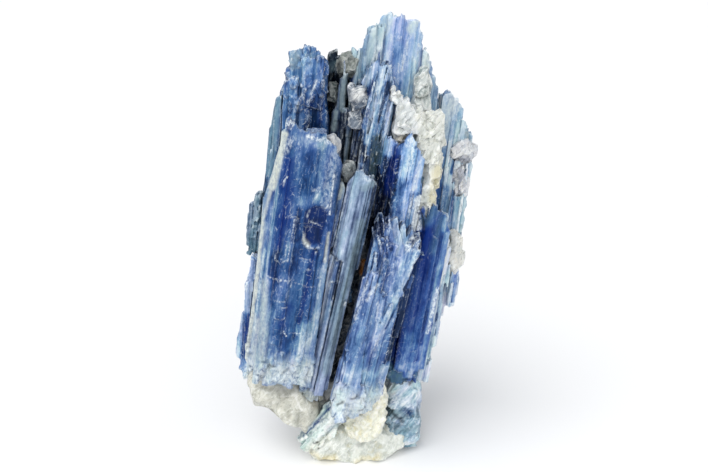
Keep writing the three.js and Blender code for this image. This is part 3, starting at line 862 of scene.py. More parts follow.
# %% Front left blade
dress_blade(
    "front_left_blade", 11, "0a2250 24487e 4a6c9c 86a1bb c9d4d6",
    tint="ccd0c4", tone=0.4, spread=0.1, sides=(0.3, -0.1), laths=(3.2, 70, 0.14), lean=0.6, streaks=0.4,
    bars=(22, (0.5, 1.6), (5, 26), (0.04, 0.16)), splinters=(14, (0.5, 1.1), (0.2, 0.7)),
    crumbs=(80, (-1, 9), (0.6, 1.8)), ridges=0.4, hollows=0.3, threads=0.35,
    posts=((4.3, 1.8, 50, 64.8, 2.8, 2.4, 0.5, -5), (5.8, 1.8, 50, 63.6, 2.6, 2.2, 0.7, -4)),
    crown=(
        (0, 60), (2.2, 62.6), (3.4, 64.5), (4.6, 63.6), (6, 62.5), (12, 62.2), (13.4, 60.6), (14.7, 58.6),
        (16.2, 55),
    ),
    strokes=(
        # the royal blue bands and the dark zones
        royal(5, 41, 4.9, 55, 1.5, 0.85, 1.4), royal(5, 36, 5, 43, 0.9, 0.9, 0.8),
        royal(12.2, 26, 12.6, 35, 0.5, 0.7, 0.5), royal(7.6, 17, 8.4, 21, 1.3, 0.6, 1.2),
        royal(11.6, 18, 12.2, 27, 0.4, 0.6, 0.5), tone(8.6, 50, 9, 57, 1.6, 0.26, 1.4),
        tone(4.9, 21, 5.2, 34, 1.1, 0.24, 0.8), tone(8.2, 31, 9.2, 35, 1.6, 0.24, 1),
        tone(8, 38, 8.2, 45, 0.8, 0.1, 0.6), tone(7.8, 13, 8.2, 15, 0.8, 0.05, 0.6),
        tone(10.4, 10, 10.8, 14, 1, 0.1, 0.6), tone(11.4, 18, 12.4, 34, 0.7, 0.1, 0.6),
        # the lighter and frosted zones
        tone(5.6, 42, 5.8, 48, 1.4, 0.3, 0.8), tone(6.9, 43, 7, 49, 0.4, 0.42, 0.5),
        tone(4.4, 13, 4.6, 20, 0.7, 0.6, 0.6), tone(7, 23, 8, 26, 2.4, 0.42, 1.2),
        tone(12.6, 49, 12.8, 58, 1.5, 0.5, 1.4), tone(7, 60.6, 13, 59.6, 1.3, 0.62, 1.2),
        tone(15.2, 9, 15.4, 32, 0.8, 0.66, 0.6), tone(2.4, 20, 2.2, 48, 0.4, 0.6, 0.4),
        tone(2, 12, 15, 11, 2, 0.55, 2), tone(3, 27, 4.6, 6, 1, 0.7, 0.8),
        tint(2.6, 26, 4.2, 6, 0.8, 0.5, 0.8), tone(13.8, 16.5, 13.6, 6, 1.6, 0.68, 0.9),
        frost(13.6, 15, 13.4, 8, 1.2, 0.25, 1), tone(8.4, 12, 8.8, 16, 1.4, 0.28, 1),
        tone(2, 4, 15, 4, 4, 0.72, 2.5), frost(3, 2.5, 14.5, 3.5, 2.6, 0.45, 2.2),
        tint(2.5, 3.4, 15, 4.4, 3.2, 0.42, 2.6), ink(5.4, 5.2, 6.8, 6, 0.35, 0.5),
        ink(9.4, 4.4, 10.6, 5.4, 0.3, 0.45), tone(4.4, 1.5, 4.6, 5, 0.7, 0.3, 0.5),
        frost(3.6, 63, 4.2, 64.4, 0.7, 0.8), frost(8, 61.2, 13.4, 60.6, 0.5, 0.85, 0.5),
        frost(13.6, 47, 14, 58, 1.2, 0.25, 1),
        # the pale bevel
        tint(0.2, 4, 0.3, 40, 0.8, 0.85, 0.4), tone(1.2, 41, 1.8, 47.5, 0.5, 0.35, 0.4),
        tint(0.4, 40, 1.4, 48, 0.35, 0.6), tint(1.5, 48.5, 2.9, 61, 0.75, 0.9, 0.4),
        frost(3.4, 57.4, 4.6, 60, 0.6, 0.45, 0.7), tint(2, 6, 2.2, 16, 1.2, 0.45, 0.9),
        tone(0.6, 26, 0.7, 27, 0.5, 0.3, 0.4), frost(1.4, 14, 1.6, 34, 0.2, 0.4, 0.2),
        # the etched green patch, the dark hollow and the shell-shaped chip
        tone(9.4, 46.4, 11, 48, 1.1, 0.6, 1.2), frost(11.5, 48, 11.7, 50.2, 0.25, 0.7),
        frost(10.6, 49.6, 11.6, 50, 0.25, 0.4), royal(11.6, 39, 12.2, 44, 2.2, 0.4, 0.9),
        tone(11.8, 39, 12.2, 44, 2.2, 0.02, 0.7), tone(12.4, 33.2, 12.8, 35.2, 0.9, 0.14, 0.6),
        step(12, 38.6, 12.4, 44, 1.9, -0.35, 0.2), ink(12.9, 38.3, 12.7, 40.4, 0.7, 0.6, 0.7),
        ink(11.6, 42.6, 13.2, 42.9, 0.6, 0.4, 0.6), frost(10.6, 42.4, 13.6, 41.4, 0.12, 0.6, 0.1),
        frost(10, 43.6, 10.4, 45, 0.14, 0.6), tint(9.8, 39.2, 10, 37.8, 0.2, 0.8, 0.2),
        tint(10, 37.8, 10.9, 36.7, 0.55, 0.8, 0.4), frost(10.4, 36.8, 11.4, 36.1, 0.3, 0.7),
        frost(11.4, 36.1, 12.8, 36.1, 0.14, 0.6), frost(12.8, 36.1, 13.6, 36.7, 0.12, 0.45),
        frost(9.5, 39.6, 9.7, 38.2, 0.12, 0.6), step(9.8, 39, 11, 36.4, 0.6, 0.35),
        step(11.2, 36.2, 13.4, 36.4, 0.4, 0.3),
        # torn white edges on the right
        frost(14.7, 44.5, 14.3, 53.5, 0.14, 0.9, 0.2), frost(13.8, 45.8, 14.6, 47.3, 0.2, 0.6),
        step(14.8, 44.5, 14.3, 54, 0.4, 0.25), tint(15.3, 33, 15.2, 40, 0.25, 0.8),
        frost(14.9, 24, 15.2, 34, 0.16, 0.6), ink(15.8, 45, 16.2, 56, 0.5, 0.5, 0.4),
        # etched outlines
        frost(7, 32.6, 7.4, 42.6, 0.12, 0.75, 0.15), frost(5.9, 32.4, 7, 32.8, 0.1, 0.55, 0.1),
        frost(6.3, 32.8, 6.4, 37.4, 0.08, 0.6, 0.1), frost(4.2, 32.8, 4.4, 36, 0.1, 0.6, 0.1),
        frost(4.2, 32.6, 5.4, 31.8, 0.1, 0.6, 0.1), step(5.9, 34, 6.2, 38, 0.9, -0.2, 0.1),
        frost(3, 28.4, 5.2, 27.8, 0.1, 0.6, 0.1), frost(5.2, 27.8, 8.8, 28, 0.14, 0.6, 0.15),
        frost(9.2, 27.4, 14.4, 26.8, 0.08, 0.5, 0.1), frost(8.4, 26, 8.6, 28.6, 0.1, 0.6, 0.1),
        frost(5.4, 22.4, 7.6, 22.8, 0.12, 0.55, 0.15), frost(7, 21.2, 8.2, 21.2, 0.12, 0.5, 0.15),
        frost(8.2, 15, 9, 13.8, 0.14, 0.9, 0.12), frost(9.6, 14.6, 13, 15.4, 0.12, 0.6, 0.1),
        frost(3.4, 50, 4.6, 52, 0.12, 0.6, 0.1), frost(4, 49.6, 4.2, 51.4, 0.1, 0.5, 0.1),
    ),
)

# %% [markdown]
# ## The middle blades
# A pale grey-blue blade that is fluted like a column, with a lighter lath standing on its upper left, and
# a sheaf of thin darker blades against its left side. The flutes could be modelled one by one. Narrow
# laths in the skin give the same rhythm, uneven as the real one.

# %% Middle blades
dress_blade(
    "middle_blade", 21, "1c2a40 506280 7a8ea8 9fb2ca d0dce8",
    tint="8499a2", spread=0.27, laths=(1, 90, 0.22), lean=0.2, streaks=0.5,
    bars=(10, (0.4, 0.9), (14, 40), (0.05, 0.2)), splinters=(8, (0.5, 0.9), (0.2, 0.8)), threads=0.1,
    hollows=1, ridges=0.35, sides=(-0.1, -0.4),
    strokes=(
        tone(1.9, 38, 2.2, 56, 1.5, 0.66, 0.4), tone(0.4, 38, 0.5, 54, 0.4, 0.4),
        tone(1.2, 39, 1.6, 52, 0.25, 0.8, 0.2), frost(2.4, 56.8, 2.8, 58, 0.6, 0.5, 0.5),
        tint(4.4, 8, 4.6, 46, 1, 0.55, 0.7), tone(5.8, 36, 6.2, 54, 0.5, 0.12, 0.4),
        tone(5.9, 2, 5.9, 36, 0.3, 0.15), tone(2.8, 36, 2.9, 54, 0.25, 0.35, 0.2),
        frost(5.2, 25.4, 5.3, 26.2, 0.25, 0.9), tone(3.6, 1, 4.4, 10, 1.2, 0.62, 0.8),
        tint(3.4, 54, 5.6, 55.6, 0.7, 0.6, 0.5), frost(3.2, 56, 4.2, 56, 0.35, 0.6),
        tone(4.6, 40, 5.8, 30, 0.8, 0.14, 0.5), ink(5.2, 38, 6.1, 29, 0.4, 0.5, 0.4),
    ),
)
dress_blade(
    "middle_splinters", 22, "1e2e4c 48608a 7188a8 98aac2 c8d2da",
    tint="a8aea6", spread=0.2, laths=(0.9, 30, 0.35), threads=0.2,
    crumbs=(20, (-0.5, 4), (0.5, 1.3)),
    strokes=(
        tint(0.3, 52, 0.6, 56, 0.6, 0.9), royal(1, 38, 0.9, 52, 0.3, 0.35),
        tone(1.6, 22, 2, 36, 0.7, 0.6, 0.5), tone(3.7, 28, 3.7, 37, 0.35, 0.12),
        frost(2.4, 30, 2.6, 32, 0.25, 0.7), tint(0, 1, 4, 1.4, 1.4, 0.95, 0.8),
        tone(3.2, 5, 3, 18, 0.6, 0.62, 0.5),
    ),
)

# %% [markdown]
# ## The lower centre blades
# These are the most broken ones. The top is torn into teeth, shards lie slantwise over each other, the
# right side is a white feathered edge, and the foot is crushed to pale crumbs. Planes could cut the
# teeth, but real ones stand behind each other. So they are leaning posts, and the crown line only trims
# them.

# %% Lower centre blades
dress_blade(
    "lower_centre_blades", 31, "172c54 3f5c8e 6a88b4 9db2ce d3dee8",
    tint="c9d2ca", tone=0.355, spread=0.42, laths=(2.6, 26, 0.3), lean=6, streaks=0.55,
    bars=(44, (1.2, 3.4), (6, 20), (0.15, 0.8)), splinters=(30, (0.5, 1.2), (0.5, 2.2)),
    crumbs=(150, (-2, 8), (0.7, 2.2)), hollows=0.45,
    posts=(
        (1.6, 4.2, 38, 51, 2.4, 2, 0.12, -14), (3.6, 3.6, 38, 51, 2.4, 2, 0.12, -20),
        (5.4, 3.2, 36, 50.4, 2.6, 2, 0.15, -22), (7.2, 2.8, 36, 49.6, 2.4, 2, 0.15, -20),
        (2.4, 2.4, 34, 47.5, 2, 1.6, 0.12, -24), (4.4, 1.8, 33, 46.2, 2.2, 1.6, 0.12, -28),
        (6.4, 1.6, 32, 45, 2.2, 1.6, 0.15, -26), (9.2, 2.2, 36, 48.6, 2.4, 2, 0.3, 14),
        (9.8, 2, 34, 47, 1.8, 2, 0.2, 20),
    ),
    shards=(
        (8.1, 30, 21, 1.9, 13, 0.9, 0.25), (6.2, 22, 18, 1.2, 10, 0.9, 0.4), (5, 38, 13, 2.2, 6, 0.8, 0.3),
        (2.2, 37, 10, 1.8, -7, 0.9, 0.3), (7.4, 40, 9, 1.6, 16, 0.9, 0.2), (2, 20, 22, 2, 2, 0.6, 0.7),
        (4.2, 12, 16, 1.8, -5, 0.8, 0.3), (8, 12, 14, 1.6, 4, 0.8, 0.3),
    ),
    crown=(
        (0, 47.5), (0.8, 50.8), (2, 48.2), (2.8, 50.6), (3.6, 48.6), (4.4, 50.8), (5.6, 47.6), (6.4, 49.8),
        (7.6, 46.2), (8.4, 48.4), (9.4, 46.4), (10.6, 47.2), (11.4, 43.5),
    ),
    strokes=(
        # torn top
        tone(0.6, 46, 3, 49, 1.4, 0.06, 0.7), ink(0.2, 44, 0.6, 50, 0.5, 0.6, 0.4),
        tone(7.4, 40, 4.2, 50, 1.2, 0.64, 0.6), frost(8.8, 44.5, 10.2, 47.6, 1, 0.75, 0.6),
        tone(7.6, 43, 6.4, 49, 0.9, 0.74, 0.5), frost(10.2, 38, 10.8, 46, 0.4, 0.7, 0.4),
        tone(9.8, 38, 10.2, 44, 0.5, 0.8, 0.4), tone(3.6, 38, 2.6, 44, 1.2, 0.24, 0.8),
        # slanting shards
        tone(10, 39, 6.6, 22, 0.7, 0.72, 0.4), frost(9, 36, 7.6, 28, 0.4, 0.35, 0.4),
        frost(4.4, 31, 6.4, 20, 0.15, 0.5, 0.2), frost(6.4, 21, 7, 17, 0.4, 0.3, 0.4),
        tone(10.4, 36, 7.8, 24, 0.25, 0.1, 0.2), tone(5.4, 16, 6.4, 26, 0.8, 0.52, 0.6),
        frost(2, 31, 3.4, 35, 0.5, 0.6, 0.4), frost(0.4, 26, 1.2, 35, 0.4, 0.5, 0.4),
        # purple and deep blue
        tone(3.2, 18, 3.2, 28, 1.2, 0.45, 1), tone(1.3, 33, 2.2, 27, 1, 0.36, 0.8),
        tone(6, 41, 6.9, 35, 0.9, 0.36, 0.6), tone(8.4, 43.6, 9, 40, 0.8, 0.5, 0.5),
        royal(5.2, 20, 6.2, 13, 0.45, 0.6, 0.4), royal(8, 13, 8.6, 17, 0.7, 0.4, 0.6),
        # the shadowed right side and the crushed foot
        tone(10.8, 33, 10.3, 14, 0.9, 0, 0.4), ink(10.9, 28, 10.6, 15, 0.5, 0.6, 0.4),
        tone(0, 12, 9.6, 12, 2, 0.64, 1.4), tone(0, 4, 11, 5, 3.8, 0.86, 2),
        tint(0, 3.4, 10, 4, 3.6, 0.6, 2.6), frost(0, 0, 10, 1, 3, 0.5, 2), ink(1, 3, 1.9, 3.7, 0.35, 0.6),
        ink(6.2, 2.8, 7.3, 3.5, 0.35, 0.6), tone(3, 1.4, 3.3, 4, 0.5, 0.3, 0.4),
        tone(5.2, 6, 5.6, 9, 0.4, 0.3, 0.4), ink(3.6, 5.8, 4.8, 6.4, 0.35, 0.6),
        ink(0.2, 36.6, 0.7, 37.6, 0.4, 0.5),
    ),
)

# %% [markdown]
# ## The upper centre and right deep blades
# Behind the lower ones stand a light blue blade with a navy left side, and at the right the most
# saturated blade of all, dark along its left side and teal where it is broken at the top and the foot.
# One mix of tones can't be so deep, so its blue is a mark of its own, royal, that covers the streaks.

# %% Upper centre and right deep blades
dress_blade(
    "upper_centre_blade", 41, "060f26 2c4e86 6c92c4 a2c0e2 dee9f3",
    tint="3f6278", tone=0.52, spread=0.24, sides=(-0.6, -0.2), laths=(1.8, 40, 0.3), lean=2, streaks=0.5,
    bars=(30, (0.6, 1.6), (8, 30), (0.08, 0.35)), hollows=0.3, splinters=(18, (0.5, 1.1), (0.2, 1.2)),
    strokes=(
        # navy at the left, lighter at its top
        tone(1.6, 30, 2.2, 55, 2.7, 0.03, 1), ink(0.8, 34, 1.4, 48, 1.2, 0.6, 0.8),
        royal(2.8, 48, 3.3, 58, 0.7, 0.9, 0.7), tone(2, 57.6, 2.2, 60, 1.4, 0.52, 0.8),
        tint(0.3, 54, 0.8, 60, 0.4, 0.8),
        # from blue to nearly white at the right
        tone(5.2, 42, 5.8, 50, 1.1, 0.38, 0.8), tone(5.6, 53, 5.8, 61, 0.9, 0.78, 0.8),
        tone(7, 45, 7.2, 51, 0.8, 0.5, 0.6), tone(8.6, 50, 8.8, 58, 0.9, 0.78, 0.8),
        frost(6.4, 54, 6.4, 61, 0.6, 0.6, 0.4), frost(5.6, 60, 5.6, 63.5, 0.8, 0.6, 0.5),
        frost(8.2, 43, 8.6, 56, 0.35, 0.6), frost(10.6, 37, 10.2, 47, 1.1, 0.95),
    ),
)
dress_blade(
    "right_deep_blade", 42, "061644 1a3a7c 35599a 668ab8 b2c5d6",
    tint="4a6a78", tone=0.42, spread=0.14, sides=(-0.5, 0.2), laths=(3.2, 60, 0.1), lean=0.4,
    bars=(9, (0.5, 1.4), (8, 30), (0.04, 0.14)), threads=0.15, gloss=0.24, crumbs=(16, (-1, 4), (0.6, 1.6)),
    ridges=0.3, hollows=0.25, streaks=0.35,
    strokes=(
        royal(4.8, 41, 5, 31, 1.4, 1, 0.8), royal(5, 31, 4.4, 16, 1.2, 0.9, 0.9),
        royal(2.6, 24, 2.4, 8, 0.9, 0.7, 0.6), ink(3.4, 34, 2.2, 10, 0.5, 0.6, 0.5),
        ink(3.6, 42, 4.2, 47, 0.8, 0.5, 0.6), tint(3.6, 43, 5.6, 46.6, 1.2, 0.6, 0.8),
        tint(6.9, 36, 7.4, 45, 0.7, 0.5, 1), frost(1.2, 45.5, 2.4, 41, 0.9, 0.9, 0.4),
        tone(8.6, 41, 8.8, 45, 0.6, 0.75, 0.4), tone(5.6, 6, 5.8, 17, 1.4, 0.58, 1),
        tone(6.6, 18, 7, 28, 0.8, 0.42, 0.7), tone(9.3, 5, 9.8, 40, 0.6, 0.74, 0.4),
        frost(9.6, 14, 9.9, 26, 0.45, 0.8), tone(8.3, 12, 8.4, 38, 0.3, 0.3),
        # a pale face at the foot, with a teal one left of it
        tone(4.8, 5.2, 8.2, 5, 1.2, 0.78, 0.5), tone(6.4, 4.2, 6.8, 2.8, 0.9, 0.84, 0.4),
        tint(0.8, 3.4, 3, 2.2, 1.8, 0.9, 0.6), tint(2.8, 1.2, 5.2, 1, 1.1, 0.85, 0.4),
        ink(5.4, 1.6, 7, 1.8, 0.3, 0.7), ink(0.2, 5.4, 0.8, 7.6, 0.6, 0.6, 0.5),
        frost(4.6, 6.2, 7.6, 6.3, 0.1, 0.6, 0.15), tone(8, 5.5, 9.2, 4, 1, 0.7, 0.4),
        tint(8.4, 2.8, 9.2, 1.6, 0.7, 0.6, 0.4), tone(8.8, 10, 9.4, 5, 0.7, 0.78, 0.4),
    ),
)

# %% [markdown]
# ## The right side
# Thin pale blades close the right side. Their outer edges are torn to short white threads, too many to be
# placed one by one. Narrow laths and splinters by chance look just as torn, and a flat cut holds the outer
# ones back where the rock ends. Only the few dark gaps between them, which are painted shade, and the
# tinted patches are strokes.

# %% Right side
dress_blade(
    "right_strip_blades", 43, "2f456c 6f86a8 a0b4ca c4d1dc e8eef0",
    tint="dde1d8", tone=0.67, laths=(0.9, 20, 0.4), threads=0.3,
    posts=((1.6, 2, 1.2, 14, 2, 2.4, 0.8, 2), (3.2, 2.4, 0.6, 7, 1.2, 2.2, 0.8, 1)),
    strokes=(
        tint(1.8, 28, 1.9, 40, 0.9, 0.9, 0.4), tone(2.4, 28, 3.4, 14, 0.25, 0.1, 0.2),
        tone(1.6, 9, 2.2, 17, 0.7, 0.3, 0.5), royal(1.8, 10, 2.6, 12, 0.6, 0.3, 0.4),
    ),
)
dress_blade(
    "right_inner_blade", 44, "2c5084 668ab2 96b2c8 c0d0d8 e8eeec",
    tone=0.6, laths=(1.6, 34, 0.35), tint="ccd4cf",
    strokes=(
        tint(2, 58, 4, 68, 1.8, 0.7, 1.2), tone(4.8, 60, 5.4, 66, 0.7, 0.45, 0.6),
        tone(4.6, 41, 5, 46, 1.8, 0.22, 1), tone(6.4, 51, 6.6, 54, 0.6, 0.1, 0.4),
    ),
)
dress_blade(
    "right_outer_blades", 45, "2c4c78 6c90b0 9eb6c8 c4d2da eef2f2",
    tone=0.56, laths=(1.4, 16, 0.5), lean=3, splinters=(26, (0.5, 1.2), (0.2, 1.4)), ridges=0.6,
    tint="d9d6d0", bars=(46, (0.6, 1.6), (4, 14), (0.2, 0.6)),
    cuts=((1, 0, 5.8),),
    strokes=(
        tone(2.4, 42, 3.6, 46, 1.8, 0.6, 1), ink(3.4, 44, 4.2, 42, 0.5, 0.4, 0.4),
        tint(6.6, 14, 6.8, 32, 0.7, 0.8, 0.5), ink(2.4, 29, 3.2, 30, 0.4, 0.5),
        tint(2.2, 31, 2.2, 36, 0.6, 0.6, 0.4), step(7.6, 6, 7.4, 30, 0.9, -0.9, 0.5),
    ),
)
dress_blade(
    "right_edge_blade", 46, "2c5494 6a8cbc 9db5d0 cfdbe6 f2f6f8",
    tone=0.68, laths=(1.2, 16, 0.5), lean=2,
)

# %% [markdown]
# ## The left side
# A tall dark blade behind the front one, crumbly and specked at its top, with thin grey-blue strips along
# its left side, a small grey-green crystal at the edge and a short blade low down. The crumbs are strewn
# only between two heights, where the blade is crushed.

# %% Left side
dress_blade(
    "back_left_blade", 51, "0d2448 294a7c 4c72a4 7f9fc2 c0d0dc",
    tint="8299a4", tone=0.42, spread=0.2, laths=(2.4, 30, 0.3), threads=0.6,
    crumbs=(70, (68, 82), (0.5, 1.5)), splinters=(20, (0.7, 1.4), (0.1, 0.7)),
    bars=(50, (0.6, 1.8), (5, 20), (0.1, 0.5)), lean=3, hollows=0.4,
    strokes=(
        tone(7.6, 64, 8.4, 69, 2.4, 0.1, 0.8), tone(10, 62, 10, 78, 0.7, 0.2, 0.6),
        ink(11.4, 60, 11.2, 80, 0.4, 0.4, 0.4), tone(5.6, 71, 6, 67, 1, 0.26, 0.8),
        ink(4.3, 64, 4.4, 69, 0.3, 0.6), tone(4, 76, 6, 79, 1.8, 0.62, 1.2),
        tint(2.6, 78.5, 3.4, 81, 1.2, 0.8, 0.8), tone(0.8, 64, 1, 73, 0.6, 0.6, 0.4),
        frost(1, 74.4, 3.4, 75.4, 0.25, 0.8), frost(6.4, 70, 8, 75, 0.3, 0.7),
        frost(3.6, 68, 5.6, 73, 0.25, 0.6), royal(6.8, 69, 7.4, 74, 1.2, 0.4, 1),
        royal(9.6, 66, 9.8, 72, 0.6, 0.4, 0.6),
    ),
)
dress_blade(
    "left_rim_blades", 52, "14294c 3c5c82 5f809c 87a3b8 c2d0d8",
    tint="6c8e9e", tone=0.48, spread=0.25, laths=(1.1, 40, 0.35),
    strokes=(
        tint(1.8, 48, 2.6, 64, 0.9, 0.7, 0.6), royal(3.9, 55, 3.8, 63, 0.35, 0.6, 0.4),
        tone(0.8, 38, 1, 45, 0.9, 0.06, 0.8),
    ),
)
dress_blade(
    "left_edge_crystal", 53, "243a4c 486276 627c90 8599a8 b4c4cc",
    tint="7c908c", tone=0.62, laths=(0.9, 9, 0.4), crumbs=(30, (0, 14), (0.4, 1.1)),
)
dress_blade(
    "left_low_blade", 54, "12356f 3f68a4 7796c0 b2c4da e6eef0",
    tint="a2acd0", tone=0.61, laths=(1.2, 20, 0.35), crumbs=(30, (-1, 6), (0.5, 1.4)),
    strokes=(
        tone(2, 9, 2.8, 20, 0.9, 0.14, 0.6), royal(2.6, 14, 3, 20, 0.5, 0.6, 0.5),
        tone(0.6, 8, 1, 14, 0.4, 0.62, 0.4), tint(2.8, 22, 3.2, 34, 0.9, 0.55, 0.6),
        frost(2, 27, 2.2, 31, 0.5, 0.8, 0.4), frost(2.4, 0, 3.4, 5, 1.4, 0.9, 1),
    ),
)

# %% [markdown]
# ## The slot
# Between the tall left blade and the middle ones a slot goes deep into the rock. The thin blades in it get
# little light and are nearly black, with a few grey edges. The shade of the blades around them isn't enough
# under soft lamps, so their own tones are darkened too, as painted shade.

# %% Slot
dress_blade(
    "slot_blades", 61, "0c182c 283a54 485c76 6f8498 a6b4c0",
    tint="8a9a9c", tone=0.45, laths=(1.1, 26, 0.4), lean=3, threads=0.3, ridges=0.4, hollows=0.25,
    bars=(36, (0.5, 1.4), (5, 20), (0.1, 0.5)), splinters=(20, (0.5, 1.1), (0.2, 1.4)),
    posts=((2.1, 0.2, 60, 72.6, 0.5, 0.6, 0.5, -3), (1, 0.6, 56, 68.8, 0.7, 0.7, 0.5, 2)),
    strokes=(
        tint(2.2, 62, 2.4, 70, 0.7, 0.8, 0.4), tint(0.8, 57, 1, 61, 0.5, 0.8, 0.4),
        tone(2.8, 52, 2.6, 61, 0.6, 0.05, 0.5), tint(4.6, 49, 4.8, 56, 0.9, 0.5, 0.6),
        frost(0.3, 54.6, 1.2, 55.2, 0.5, 0.6, 0.4), tone(2, 50, 2.2, 54, 0.6, 0.6, 0.5),
    ),
)
# the rear blade's near-black tones are painted shade at the back of the slot
dress_blade(
    "slot_rear_blade", 62, "05080c 0c1418 1c2a34 34464e 5c6e74",
    tone=0.35, voxel=0.3, threads=0.2,
    posts=((-2.6, 2, 56, 77.4, 2.6, 2.4, 0.8, 0), (-0.8, 1.6, 56, 76.6, 2.2, 2.4, 0.8, 0)),
    strokes=(tone(-3, 74, -0.6, 75, 1.2, 0.75, 0.8), ink(-1.4, 66, -0.6, 70, 1.4, 0.6, 1)),
)

# %% [markdown]
# ## The crest
# The top of the specimen is a fan of pale blades with torn ends. Their laths are thin and part a little
# from each other. The one in front, in the middle, is darker and purplish. Chance alone makes an even
# fringe, so the highest tips are posts, placed one by one.

# %% Crest
dress_blade(
    "centre_cluster", 71, "0e1c36 3a5684 7090b6 a4bad4 dce6ee",
    tint="26342f", tone=0.46, laths=(1.2, 16, 0.55), lean=5, ridges=0.6, hollows=0.7,
    bars=(70, (0.5, 1.4), (4, 16), (0.2, 0.8)), splinters=(34, (0.5, 1.1), (0.3, 1.8)),
    posts=(
        (3.2, 0.6, 42, 58, 0.8, 0.9, 0.2, 7), (4.4, 0.8, 46, 66, 0.9, 0.9, 0.2, 5),
        (2.2, 0.9, 52, 65, 0.8, 0.9, 0.2, 6), (6.6, 1, 44, 59.6, 1.2, 1, 0.2, 5),
        (5.6, 0.9, 50, 62, 0.8, 0.9, 0.2, 8), (1.4, 1.2, 44, 57, 0.7, 0.9, 0.2, 6),
    ),
    strokes=(
        # light at the top, with a deep blue wedge in it
        tone(1, 62, 2.4, 66, 1, 0.72, 0.6), royal(2, 59.5, 2.3, 62.6, 0.4, 0.9, 0.4),
        ink(2, 60, 2.2, 62, 0.3, 0.4), tone(5.4, 63.6, 5.8, 66, 0.6, 0.78, 0.4),
        ink(6, 61, 6.3, 63, 0.3, 0.7), frost(3.4, 60, 4, 64, 0.5, 0.5, 0.5),
        # pale splinters that lean over a dark ground
        tone(0.8, 43, 1, 54, 1, 0.04, 0.6), ink(0.8, 42, 1, 49, 0.8, 0.6, 0.6),
        tone(2.6, 44, 3.6, 58, 0.5, 0.72, 0.4), tone(3, 54, 4, 65, 0.7, 0.76, 0.6),
        frost(2.9, 43, 3.2, 50, 0.14, 1, 0.12), tone(1.6, 53, 2, 58, 0.5, 0.4, 0.4),
        royal(4.5, 52, 4.8, 58, 0.4, 0.6, 0.4), tint(5.2, 41, 5.2, 50, 1.1, 0.95, 0.7),
        tone(6.6, 48, 7.2, 58, 0.7, 0.78, 0.4), frost(6.9, 50, 7.3, 57, 0.25, 0.6),
        tone(1.2, 58.6, 1.8, 52, 0.6, 0.3, 0.4), tone(2.7, 48, 3, 44.6, 0.6, 0.15, 0.4),
        tone(5.2, 52, 5.7, 48, 0.6, 0.3, 0.4),
    ),
)
dress_blade(
    "crest_blade", 72, "3a6298 6c90c0 98b2d6 bccde4 e8eff4",
    tint="cdd9d0", tone=0.58, spread=0.4, laths=(1.3, 30, 0.35), lean=2,
    splinters=(22, (0.6, 1.4), (0.1, 0.35)), bars=(60, (0.5, 1.6), (6, 24), (0.1, 0.5)), threads=0.9,
    posts=(
        (1.4, 2.4, 70, 84.2, 2.2, 2.6, 0.9, 0), (7.8, 2.6, 70, 83, 1.8, 2.6, 0.9, 0),
        (8.9, 3, 66, 80.6, 1.4, 2.6, 0.7, 2),
    ),
    strokes=(
        tint(0.6, 80, 1.6, 84, 1.3, 0.45, 0.8), tint(6.6, 81.6, 7.6, 84, 0.9, 0.7, 0.6),
        tone(4.4, 67, 4.4, 80, 1, 0.32, 0.8), tone(5.4, 62, 5.8, 70, 0.3, 0.1),
        tone(8.4, 68, 8.8, 78, 1, 0.66, 0.8), frost(2.2, 70, 2.6, 80, 0.3, 0.5),
        tone(5, 58, 5.4, 63, 0.6, 0.6, 0.4), frost(5.8, 72, 6.4, 79, 0.25, 0.6),
    ),
)
dress_blade(
    "crest_shoulder", 73, "2c4674 7090b0 9cb4c8 c2d2da e6eeec",
    tint="b4c6c4", tone=0.55, laths=(1.2, 24, 0.45), lean=3, splinters=(22, (0.5, 1.2), (0.2, 1.2)),
    bars=(60, (0.5, 1.4), (5, 18), (0.1, 0.5)),
    posts=(
        (3.2, 2.6, 66, 79.6, 1.8, 2.4, 0.8, 2), (4.8, 2.6, 66, 80.2, 2, 2.4, 0.9, 0),
        (2.3, 2.4, 64, 77.2, 1.2, 2, 0.6, 4),
    ),
    strokes=(
        tint(4, 73, 5, 79, 1.6, 0.5, 1), tint(0.4, 71, 1.4, 74, 0.7, 0.5, 0.5),
        tone(2.6, 74, 3.2, 78, 0.5, 0.2, 0.4), frost(4.4, 70, 5.2, 76, 0.3, 0.7),
        royal(0.3, 65, 0.6, 69, 0.6, 1, 0.4), tone(2, 67, 4, 71, 1, 0.18, 0.7),
        frost(5.4, 73, 5.8, 76, 0.6, 0.6, 0.5),
    ),
)
dress_blade(
    "crest_right_blades", 74, "40608a 7995b2 9cb3c6 bfced8 e8eeee",
    tint="d3dcd4", laths=(1.1, 18, 0.4), lean=3, splinters=(18, (0.5, 1.1), (0.2, 1.2)),
    strokes=(tint(0.8, 73, 1.2, 77, 0.8, 0.8, 0.5), tone(2.4, 64, 2.6, 70, 0.5, 0.35, 0.4)),
)

# %% [markdown]
# ## The foot
# At the foot a short flake leans over, dark at its left edge, and at the right the fine kyanite is a
# rough mass: a striped fan of cleavage on top, grey-green crumbs under it. The mass has no long edge to
# give its grain, so the grain's turn is written down, and its flat breaks are cuts.

